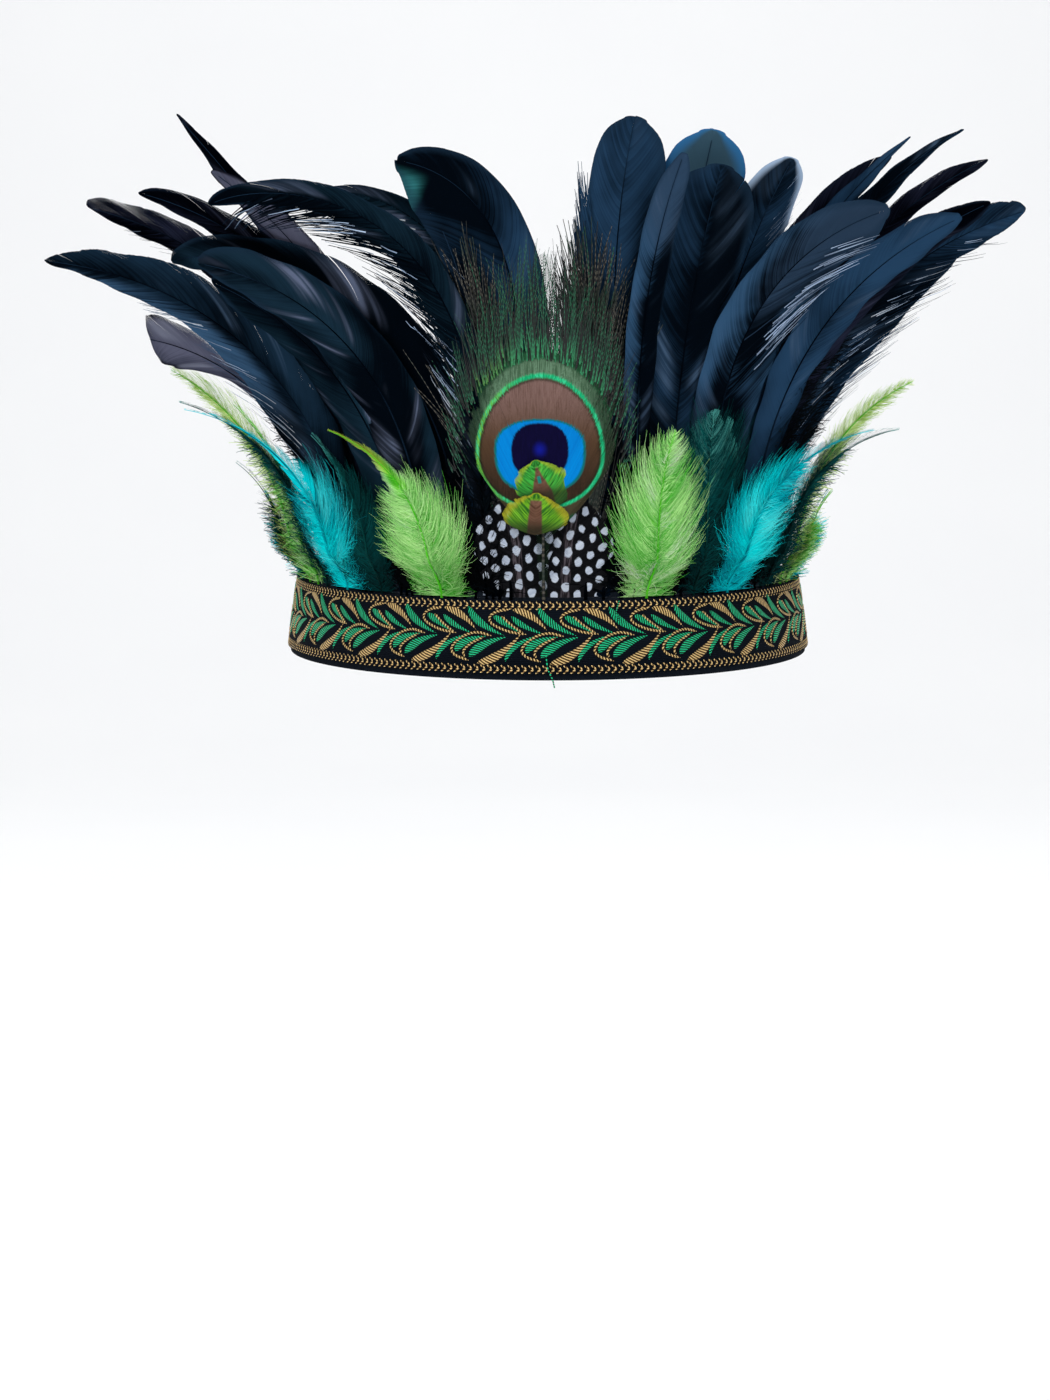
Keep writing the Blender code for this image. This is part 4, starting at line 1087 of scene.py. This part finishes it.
def guinea_paint():
    """Spotted feathers: staggered white ovals on brown black, streaked with purple grey by the shaft."""
    paint = Paint("guinea_barbs", 0.65, Specular_IOR_Level=0.03)
    _, _, own, seed = paint.looks()
    run, side = paint.lays()
    shift = paint.grain(side * 330.0, run * 330.0, seed * 5.0, detail=1.0) - 0.5
    column = side / SPOT_ASIDE + shift * 0.45 + SPOT_COLUMNS
    cell = paint.math("FLOOR", column)
    row = run / SPOT_ALONG + paint.math("MODULO", cell, 2.0) * 0.5 + shift * 0.3 + seed * 3.0
    size = paint.math("FRACT", cell * 0.37 + paint.math("FLOOR", row) * 0.61) * 0.16
    wide = (paint.math("FRACT", column) - 0.5) / SPOT_WIDE
    tall = (paint.math("FRACT", row) - 0.5) / SPOT_HIGH
    dot = 1.0 - paint.step((wide ** 2.0 + tall ** 2.0) ** 0.5 + own * 0.1 + size, 0.98, 1.14)
    ground = paint.mix(own, (0.0014, 0.0018, 0.0022), (0.008, 0.008, 0.01))
    streak = paint.grain(side * 1500.0, run * 190.0, seed)
    middle = paint.step(1.6 - (side * MILLI).absolute() + streak * 2.0, 0.6, 2.0)
    purple = paint.mix(paint.step(streak, 0.42, 0.66), (0.03, 0.022, 0.026), (0.24, 0.2, 0.23))
    ground = paint.mix(middle * 0.35, ground, purple)
    white = paint.mix(own, (0.38, 0.44, 0.56), (0.62, 0.68, 0.76))
    paint.set("Base Color", paint.mix(dot * (1.0 - middle * 0.15), ground, white))
    return paint


eye = eye_paint()
upper_scale = scale_paint("upper_scale_barbs", 0.048, 0.5, 3.6, (0.05, 0.48, 0.055), (0.34, 0.52, 0.03),
                          speck=6.5)
lower_scale = scale_paint("lower_scale_barbs", 0.0365, 2.0, 2.5, (0.15, 0.43, 0.012), (0.44, 0.43, 0.02),
                          speck=-20.0)
guinea_spots = guinea_paint()

# Barbs, shaft and down of each dye, and of the feathers that differ from the others of their dye, many of
# them by painted light.
Dye = namedtuple("Dye", "barbs shaft down", defaults=(shaft, down))
DYES = {
    "black": Dye(black),
    "grey": Dye(grey),
    "peacock": Dye(eye, herl, green_herl),
    "herl": Dye(herl, shaft, green_herl),
    "scale": Dye(upper_scale, shaft, green_herl),
    "guinea": Dye(guinea_spots),
    "lime": Dye(lime, lime_shaft, lime_down),
    "teal": Dye(teal, teal, teal_down),
    "turquoise": Dye(turquoise, turquoise, turquoise_down),
    "scale_lower": Dye(lower_scale, shaft, green_herl),
    "lime_left": Dye(olive, lime_shaft, lime_down),
    "lime_far_left": Dye(pale_lime, lime_shaft, pale_lime),
    "lime_far_right": Dye(pale_lime, lime_shaft, pale_lime),
}
for paint, names in (
    (curled, "goose_left_1"), (satin, "goose_left_2 goose_left_3"), (backlit_tip, "goose_right_3"),
    (dim, "goose_left_4 coque_left_1 coque_left_2"), (left_lit, "goose_right_2 goose_right_6"),
    (backlit_rim, "goose_right_5"), (blue_flank, "coque_left_7"),
    (violet, "coque_left_3 coque_left_5 coque_left_6 coque_right_1 coque_right_4 coque_right_5"),
):
    DYES.update((name, Dye(paint)) for name in names.split())

# Shaft and down of the black feathers: thickness of the shaft at its two ends and how proud it lies; share
# of the shaft that carries down; count, length, thickness and headings in degrees of the down.
Plain = namedtuple("Plain", "thick thin proud high count long width angle")
PLAINS = {
    "goose": Plain(0.0011, 0.0002, 0.0001, 0.22, 330, 0.018, 0.0004, (18, 75)),
    "coque": Plain(0.0009, 0.0002, 0.0001, 0.2, 260, 0.016, 0.0004, (18, 75)),
    "under": Plain(0.001, 0.0003, 0.0002, 0.75, 480, 0.022, 0.00055, (18, 80)),
}
LOWEST_DOWN = 0.001


def black_feather(line):
    """Black feather: its vane, and down at its foot that goes further up some of the cock feathers."""
    plain = PLAINS[line.feather.kind]
    vane(line)
    shaft_tube(line, plain.thick, plain.thin, plain.proud)
    if line.feather.name in DOWNY:
        high = line.length * DOWNY[line.feather.name]
        fluff(line, LOWEST_DOWN, high, count=700, long=0.014, width=0.0005, angle=(15, 75), curl=0.7,
              taper=0.3)
    high = line.length * plain.high
    fluff(line, LOWEST_DOWN, high, plain.count, plain.long, plain.width, plain.angle, curl=0.7)


# Dyed feathers: width of the usual one and foot of its down in metres; share of a plume and of the others
# that is downy; azimuth in degrees beyond which they carry more down.
HACKLE_WIDTH = 0.018
HACKLE_FOOT = 0.0006
PLUME_DOWNY = 0.72
OTHER_DOWNY = 0.99
FLUFFY_AZIMUTH = 58


def hackle(line):
    """Dyed feather: downy at the foot, with a thin stiff vane towards its tip."""
    feather = line.feather
    vane(line, thin=lambda run, across: 1 - 0.5 * smooth(run / line.length))
    shaft_tube(line, thick=0.0011, thin=0.0002, proud=0.0007)
    broad = line.width / HACKLE_WIDTH
    high = DOWNY.get(feather.name, PLUME_DOWNY if feather.outline == "plume" else OTHER_DOWNY)
    downy = int(260 + 480 * max(broad - 0.7, 0.0))
    stray(line, VANES["hackle"], downy, long=(0.75, 1.16), width=0.00022, kind=DOWN, wild=0.14, curl=0.4,
          span=(0.0, high), least=0.0012, widen=line.widen)
    fluff(line, 0.002, line.length * high * 0.85, int(260 * broad), long=0.009, width=0.0002, angle=(25, 75),
          rise=0.0035, curl=0.9, taper=0.35)
    fluff(line, HACKLE_FOOT, line.length * 0.35, int(120 * broad), long=0.011, width=0.00024, angle=(30, 85))
    if abs(feather.azimuth) > FLUFFY_AZIMUTH:
        fluff(line, HACKLE_FOOT, line.length * 0.55, count=700, long=0.014, width=0.00034, angle=(25, 95),
              rise=0.006, curl=1.1, steps=6, taper=0.5)


# Loose barbs round the eye: count, widest turn from straight up, where they start as shares of the way to
# the ring, length of the longest and the shortest, thickness, and steps along each.
FRINGE_COUNT = 500
FRINGE_TURN = np.radians(130)
FRINGE_START = (1.2, 1.42)
FRINGE_LONG = 0.036
FRINGE_SHORT = 0.004
FRINGE_WIDTH = 0.00046
FRINGE_STEPS = 10


def eye_feather(line):
    """Peacock eye: closed within its ring, with loose green barbs round and above it."""
    vane(line, thin=eye_gaps)
    shaft_tube(line, thick=0.0012, thin=0.0003, proud=0.0, until=0.35)
    rng = line.rng
    count = FRINGE_COUNT
    turn = FRINGE_TURN * rng.uniform(-1, 1, count) * rng.uniform(0.3, 1, count)
    start = rng.uniform(*FRINGE_START, count)
    step = np.linspace(0, 1, FRINGE_STEPS + 1)[None]
    tall = np.where(np.cos(turn) > 0, EYE_ABOVE, EYE_BELOW)
    low = EYE_RUN + start * tall * np.cos(turn)
    out = EYE_ASIDE + start * EYE_HALF * np.sin(turn)
    length = FRINGE_LONG * np.cos(turn / 2) ** 7 * rng.uniform(0.45, 1.0, count) + FRINGE_SHORT
    heading = turn * 0.26 + rng.normal(0, 0.06, count)
    heading = heading[:, None] + rng.normal(0, 0.16, count)[:, None] * step
    heading = heading - 0.1 * np.sign(turn)[:, None] * step
    pace = length[:, None] / FRINGE_STEPS
    run = low[:, None] + np.cumsum(np.cos(heading) * pace, 1) - np.cos(heading[:, :1]) * pace
    across = out[:, None] + np.cumsum(np.sin(heading) * pace, 1) - np.sin(heading[:, :1]) * pace
    proud = 0.0003 + rng.uniform(-0.4, 1.0, count)[:, None] * 0.0012 * step
    thin = FRINGE_WIDTH * rng.uniform(0.6, 1.1, (count, 1)) * (1 - 0.75 * step)
    faded = step + 0.7 * smooth((np.abs(turn) - 0.8) / 0.5)[:, None]
    look = (low / line.length, faded, rng.uniform(0, 1, count), line.seed)
    strands(line, run, across, proud, thin, look, DOWN)


def herl_feather(line):
    """Long loose peacock barbs that rise beside the eye."""
    shaft_tube(line, thick=0.0012, thin=0.0003)
    for kind, count in ((BARBS, 260), (DOWN, 50)):
        fluff(line, line.length * 0.04, line.length * 0.72, count, long=0.095, width=0.00052, angle=(3, 17),
              kind=kind, rise=0.002, curl=0.14, steps=12, least=0.5)


def scale_feather(line):
    """Small scale feather of the peacock, whose vane hides its shaft."""
    vane(line)


def guinea_feather(line):
    """Spotted feather, with its outer edge a little frayed."""
    vane(line)
    stray(line, VANES["guinea"], count=60, long=(0.95, 1.05), width=0.00024, kind=BARBS, wild=0.06, curl=0.1,
          rise=0.0005, span=(0.5, 1.0))


MAKERS = {
    "goose": black_feather, "coque": black_feather, "under": black_feather, "peacock": eye_feather,
    "herl": herl_feather, "scale": scale_feather, "guinea": guinea_feather, "hackle": hackle,
}

for number, feather in enumerate(FEATHERS):
    line = Line(number, feather)
    MAKERS[feather.kind](line)
    for fray in [fray for fray in FRAYS if fray.name == feather.name]:
        for kind, share, start in ((BARBS, 1 - fray.lit, 0.0), (LIT, fray.lit, LIT_START)):
            stray(line, VANES["coque"], int(fray.count * share), long=(fray.least, fray.reach),
                  width=fray.width, kind=kind, wild=0.07, curl=0.1, rise=0.001, sides=(fray.side,), steps=6,
                  span=(fray.low, fray.high), start=start, widen=line.widen)
    dye = DYES.get(feather.name, DYES[feather.dye])
    line.mesh.piece("barbs_" + feather.name, (*dye, glint), feather.name, feather.dye)


# Band: woven ribbon on its felt backing.

GIRTH_STEPS = 720
azimuths = np.linspace(-np.pi, np.pi, GIRTH_STEPS + 1)
girth = lengths(band_point(azimuths, 0.0, BAND_HEIGHT / 2))
GIRTH = girth[-1]
girth = girth - GIRTH / 2


def band_place(along, height, proud):
    """Points at a distance round the band from its centre front, a height and a distance proud of it."""
    azimuth = np.interp(along, girth, azimuths)
    return band_point(azimuth, -np.asarray(proud, float), np.asarray(height, float))


def band_piece(name, corners, paint, node, slot):
    """Closed loop round the band through (depth, height) corners."""
    depth, height = np.array(corners).T
    rings = band_point(np.linspace(-np.pi, np.pi, GIRTH_STEPS, endpoint=False)[:, None], depth, height)
    rings = np.concatenate([rings, rings[:1]])
    along = np.linspace(-GIRTH / 2, GIRTH / 2, len(rings))
    mesh = Mesh()
    mesh.grid(rings, (0.0, 0.0, 0.5, 1.0), (along[None, :, None], height[None, None]), closed=True)
    return mesh.piece(name, [paint], node, slot)


felt = Paint("felt", 0.95, Specular_IOR_Level=0.04)
felt_tone = felt.noise(felt.place(), 900.0, 3.0)
felt.set("Base Color", felt.mix(felt_tone, (0.0025, 0.004, 0.007), (0.01, 0.014, 0.021)))
felt.bump(felt.noise(felt.place(), 1600.0, 3.0), 0.0003, 0.6)

# Weave of the ribbon's ground: pitch of its threads along the ribbon and across it.
WARP_PITCH = 0.0006
WEFT_PITCH = 0.00045
ground = Paint("ribbon_ground", 0.8, Specular_IOR_Level=0.03)
along, height = ground.lays()
weave = (along * (2 * math.pi / WEFT_PITCH)).sine() * 0.5 + (height * (2 * math.pi / WARP_PITCH)).sine() * 0.5
ground_tone = ground.step(weave, -1.0, 1.0)
ground.set("Base Color", ground.mix(ground_tone, (0.0015, 0.0025, 0.0045), (0.006, 0.009, 0.015)))
ground.bump(weave, 0.00008, 0.5)

seat = RIBBON_WALL + CLEARANCE
pocket = seat + QUILL_THICKNESS + CLEARANCE
inside = pocket + BACKING_WALL
shelf = BAND_HEIGHT - QUILL_DEPTH - CLEARANCE
backing = band_piece("felt_backing", (
    (seat, 0), (seat, shelf), (pocket, shelf), (pocket, BAND_HEIGHT), (inside, BAND_HEIGHT), (inside, 0),
), felt, "backing_band", "felt_black")
ribbon_low = BACKING_MARGIN_BELOW
ribbon_high = BAND_HEIGHT - BACKING_MARGIN_ABOVE
ribbon = band_piece("woven_ribbon", (
    (0, ribbon_low), (0, ribbon_high), (RIBBON_WALL, ribbon_high), (RIBBON_WALL, ribbon_low),
), ground, "ribbon_band", "ribbon")

# Vine on the ribbon, in millimetres from the start of its repeat and from the ribbon's lower edge. Leaves
# are curves from their outer tip to the middle line, with a half width and the share where it is widest.
REPEATS = 25
REPEAT = GIRTH / REPEATS
DRAWN_REPEAT = 0.0245
RIBBON_TALL = ribbon_high - ribbon_low
VINE_START = -0.0203
MILLIMETRE = 0.001
# Height of the raised yarn where it is wide, half width from which it is that high, and least height, in
# metres; points along a leaf, and along a cord for each of its spots.
LEAF_TALL = 0.00026
CORD_TALL = 0.00032
FULL_HALF = 0.0004
LEAST_TALL = 0.00004
LEAF_STEPS = 15
CORD_STEPS = 7
GREEN_YARN, GOLD_YARN = 0, 1
Leaf = namedtuple("Leaf", "yarn along_1 up_1 along_2 up_2 along_3 up_3 half fat")
LEAVES = [Leaf(*row) for row in (
    (GREEN_YARN, 1.3, 19.2, 4.2, 17.6, 11.0, 13.7, 1.15, 0.4),
    (GREEN_YARN, 7.4, 19.2, 10.8, 15.8, 18.6, 13.4, 1.0, 0.4),
    (GOLD_YARN, 7.8, 21.4, 14.4, 20.8, 19.7, 14.6, 1.25, 0.45),
    (GREEN_YARN, 16.7, 22.3, 18.6, 16.8, 29.6, 12.9, 1.35, 0.5),
    (GREEN_YARN, 12.6, 7.2, 14.6, 11.6, 23.6, 12.5, 1.4, 0.35),
    (GREEN_YARN, 17.6, 5.6, 21.6, 10.6, 30.5, 12.4, 1.55, 0.35),
    (GOLD_YARN, 20.6, 3.6, 28.6, 4.9, 35.2, 13.4, 1.5, 0.4),
    (GREEN_YARN, 30.2, 4.2, 31.2, 10.0, 41.0, 12.9, 0.95, 0.5),
)]
# Gold cords that frame two of the leaves, through spots (along, up) in the same measures.
CORD_HALF = 0.00042
CORDS = (
    ((12.6, 13.3), (6.3, 14.3), (0.9, 16.6), (-0.1, 18.9), (2.3, 20.7), (6.6, 21.5)),
    ((11.6, 13.6), (7.4, 16.4), (4.1, 19.2)),
    ((25.2, 12.7), (20.0, 13.7), (14.9, 12.1), (11.3, 8.6), (12.6, 6.0), (17.6, 4.3)),
    ((22.6, 12.4), (18.0, 9.9), (15.6, 7.5), (15.9, 5.6)),
)


def leaf_curve(leaf, share):
    """Centre line of a leaf, in metres on the ribbon."""
    first, middle, last = np.array(leaf[1:7]).reshape(3, 2) * MILLIMETRE
    share = share[:, None]
    return first * (1 - share) ** 2 + middle * 2 * share * (1 - share) + last * share ** 2


def leaf_width(leaf, share):
    """Half width of a leaf, widest at its fat share and pointed where it joins the middle line."""
    near = np.clip(share / leaf.fat, 0, 1)
    rise = np.sqrt(near * (2 - near))
    fall = np.clip((1 - share) / (1 - leaf.fat), 0, 1) ** 0.8
    return leaf.half * MILLIMETRE * np.minimum(rise, fall)


def cord_curve(spots, share):
    """Smooth line through spots, in metres on the ribbon."""
    ends = np.array(spots) * MILLIMETRE
    ends = np.concatenate([[2 * ends[0] - ends[1]], ends, [2 * ends[-1] - ends[-2]]])
    place = share * (len(spots) - 1)
    low = np.minimum(place.astype(int), len(spots) - 2)
    part = (place - low)[:, None]
    before, here, there, after = ends[low], ends[low + 1], ends[low + 2], ends[low + 3]
    return here + 0.5 * part * (there - before + part * (
        2 * before - 5 * here + 4 * there - after + part * (3 * (here - there) + after - before)))


def stitched(mesh, starts, centre, half, tall, kind, columns=5):
    """Raised satin stitch along a line on the ribbon, repeated at each start."""
    across = np.linspace(-1, 1, columns)
    way = np.gradient(centre, axis=0)
    way /= np.linalg.norm(way, axis=1, keepdims=True)
    side = np.stack([-way[:, 1], way[:, 0]], 1)
    wide = half[:, None] * across
    flat = centre[:, None] + side[:, None] * wide[..., None]
    dome = tall * (1 - across ** 2)[None] * np.minimum(1, half / FULL_HALF)[:, None] + LEAST_TALL
    scale = REPEAT / DRAWN_REPEAT
    rings = np.stack([
        band_place(start + flat[..., 0] * scale, ribbon_low + flat[..., 1], dome) for start in starts
    ])
    look = (0.5, np.abs(across)[None, None], 0.5, 1.0)
    mesh.grid(rings, look, (lengths(centre)[None, :, None], wide[None]), kind)


def vine():
    """Leaves and cords of the vine, repeated round the band."""
    mesh = Mesh()
    starts = VINE_START + REPEAT * np.arange(-REPEATS // 2, REPEATS // 2 + 1)
    starts = starts[(starts > -GIRTH / 2 - REPEAT) & (starts < GIRTH / 2)][:REPEATS]
    for leaf in LEAVES:
        share = np.linspace(0, 1, LEAF_STEPS)
        stitched(mesh, starts, leaf_curve(leaf, share), leaf_width(leaf, share), LEAF_TALL, leaf.yarn)
    for spots in CORDS:
        share = np.linspace(0, 1, CORD_STEPS * len(spots))
        half = CORD_HALF * np.clip(np.minimum(share, 1 - share) * 14 + 0.25, 0, 1)
        stitched(mesh, starts, cord_curve(spots, share), half, CORD_TALL, GOLD_YARN)
    return mesh


# Chevrons along both edges of the ribbon, in metres: pitch, run and rise of a stitch, distance of their
# middle from the edge, half width at the ends and what it grows by, height and least height.
CHEVRON_PITCH = 0.0023
CHEVRON_LONG = 0.0017
CHEVRON_TALL = 0.0013
CHEVRON_MIDDLE = 0.0017
CHEVRON_HALF = 0.00012
CHEVRON_SWELL = 0.00018
CHEVRON_DOME = 0.0001
CHEVRON_LEAST = 0.00003
CHEVRON_STEPS = 5


def chevrons():
    """Two slanting stitches for each chevron, repeated round both edges of the ribbon."""
    mesh = Mesh()
    count = int(GIRTH / CHEVRON_PITCH)
    starts = -GIRTH / 2 + GIRTH / count * np.arange(count)
    share = np.linspace(0, 1, CHEVRON_STEPS)
    across = np.linspace(-1, 1, 4)
    for middle in (CHEVRON_MIDDLE, RIBBON_TALL - CHEVRON_MIDDLE):
        for way in (-1, 1):
            along = share * CHEVRON_LONG
            up = middle + way * (1 - share) * CHEVRON_TALL
            half = CHEVRON_SWELL * np.sqrt(np.clip(4 * share * (1 - share), 0, 1)) + CHEVRON_HALF
            slope = np.array([CHEVRON_LONG, -way * CHEVRON_TALL])
            slope /= np.linalg.norm(slope)
            flat_along = along[:, None] - slope[1] * half[:, None] * across
            flat_up = up[:, None] + slope[0] * half[:, None] * across
            dome = CHEVRON_DOME * (1 - across ** 2)[None] * np.ones((CHEVRON_STEPS, 1)) + CHEVRON_LEAST
            rings = np.stack([band_place(start + flat_along, ribbon_low + flat_up, dome) for start in starts])
            lay = (along[None, :, None], (half[:, None] * across)[None])
            mesh.grid(rings, (0.5, 0.5, 0.5, 1.0), lay)
    return mesh


# Loose green ends of yarn: distance along the ribbon from the front, and height, at each bend.
LOOSE_ENDS = (
    ((-0.0012, 0.0085), (-0.0006, 0.004), (0.001, 0.0005), (0.0016, -0.0022)),
    ((0.0238, 0.0262), (0.0226, 0.0225), (0.0236, 0.0195)),
)
# Half thickness of a loose end and its distance off the ribbon, in metres.
THREAD_HALF = 0.00022
THREAD_PROUD = 0.0009
THREAD_STEPS = 24
THREAD_CORNERS = 6


def loose_threads():
    """Ends of yarn that lie loose over the ribbon."""
    mesh = Mesh()
    turn = np.linspace(0, 2 * np.pi, THREAD_CORNERS, endpoint=False)
    share = np.linspace(0, 1, THREAD_STEPS)
    for bends in LOOSE_ENDS:
        stops = np.linspace(0, 1, len(bends))
        along, height = [np.interp(share, stops, row) for row in zip(*bends)]
        aside = THREAD_HALF * np.cos(turn)
        proud = THREAD_PROUD + THREAD_HALF * np.sin(turn)
        rings = band_place(along[:, None] + aside, height[:, None], proud)
        mesh.grid(rings, (0.5, 0.3, 0.5, 1.0), ((0.01 * share)[None], 0.0), closed=True)
    return mesh


def yarn_paint(name, gap, dark, light, roughness, pitch):
    """Satin yarn: slanting threads with a soft gloss and a painted highlight along each, and dark gaps
    between them.
    """
    paint = Paint(name, roughness, Specular_IOR_Level=0.22)
    _, edge, _, _ = paint.looks()
    along, across = paint.lays()
    drift = paint.noise(paint.place(), 900.0)
    thread = ((along + across * 0.9 + drift * 0.0003) * (2 * math.pi / pitch)).sine()
    # Each thread painted light along its crest and dark on its flanks: painted highlight and shade.
    colour = paint.mix(paint.step(thread + drift * 0.8, -0.2, 1.2), dark, light)
    colour = paint.mix(1.0 - paint.step(thread + drift * 0.5, -0.5, 0.15), colour, gap)
    # Darker towards the edges of each stitch.
    colour = paint.mix(paint.step(edge, 0.75, 1.0) * 0.7, colour, gap)
    paint.set("Base Color", colour)
    paint.bump(thread, 0.0003)
    return paint


green_yarn = yarn_paint("green_yarn", (0.0, 0.008, 0.004), (0.0, 0.15, 0.062), (0.02, 0.82, 0.36), 0.42,
                        pitch=0.001)
gold_yarn = yarn_paint("gold_yarn", (0.012, 0.004, 0.001), (0.42, 0.16, 0.02), (1.0, 0.71, 0.3), 0.38,
                       pitch=0.00115)
vine().piece("ribbon_vine", [green_yarn, gold_yarn], None, "ribbon")
loose_threads().piece("loose_threads", [green_yarn], None, "ribbon")
chevrons().piece("ribbon_chevrons", [gold_yarn], None, "ribbon")

# Stage: a pale floor that sweeps up behind, in metres, and soft lights.
FLOOR = -0.42
FLOOR_FRONT = -4.0
FLOOR_HALF = 6
SWEEP_START = 2.6
SWEEP_RADIUS = 1.6
SWEEP_STEPS = 24
WALL_TOP = 6.0
floor_paint = Paint("floor", 0.9)
floor_tone = floor_paint.noise(floor_paint.place(), 3.0)
floor_paint.set("Base Color", floor_paint.mix(floor_tone, (0.86, 0.86, 0.87), (0.9, 0.9, 0.9)))


def stage_sweep():
    """Floor and wall joined by a bend."""
    mesh = Mesh()
    bend = np.linspace(0, np.pi / 2, SWEEP_STEPS)
    back = SWEEP_START + SWEEP_RADIUS
    depth = np.concatenate([[FLOOR_FRONT], SWEEP_START + SWEEP_RADIUS * np.sin(bend), [back]])
    height = np.concatenate([[0.0], SWEEP_RADIUS * (1 - np.cos(bend)), [WALL_TOP]]) + FLOOR
    wide = np.linspace(-FLOOR_HALF, FLOOR_HALF, 3)
    points = np.stack(np.broadcast_arrays(wide[None, :], depth[:, None], height[:, None]), -1)
    mesh.grid(points, (0.5, 0.5, 0.5, 1.0), (0.0, 0.0))
    return mesh.piece("floor", [floor_paint])


floor = stage_sweep()
floor.parent = None

# Place, aim, size and power of each light.
LIGHTS = {
    "key": ((-1.1, -1.5, 1.3), (0, -0.08, 0.08), 1.2, 27),
    "fill": ((1.3, -1.3, 0.9), (0, -0.08, 0.08), 1.2, 15),
    "top": ((0.0, 0.3, 1.7), (0, -0.05, 0.1), 1.2, 5),
    "backdrop": ((0.0, 1.2, 2.6), (0, 3.5, 0.5), 3.0, 88),
}
for name, (place, aim, size, power) in LIGHTS.items():
    data = bpy.data.lights.new(name, "AREA")
    data.size = size
    data.energy = power
    lamp = bpy.data.objects.new(name, data)
    bpy.context.scene.collection.objects.link(lamp)
    lamp.location = place
    lamp.rotation_euler = (Vector(aim) - Vector(place)).to_track_quat("-Z", "Y").to_euler()

world = bpy.data.worlds.new("studio")
bpy.context.scene.world = world
world.use_nodes = True
background = world.node_tree.nodes["Background"]
background.inputs["Color"].default_value = (0.92, 0.96, 1.0, 1)
background.inputs["Strength"].default_value = 0.3
bpy.context.scene.view_settings.view_transform = "Standard"
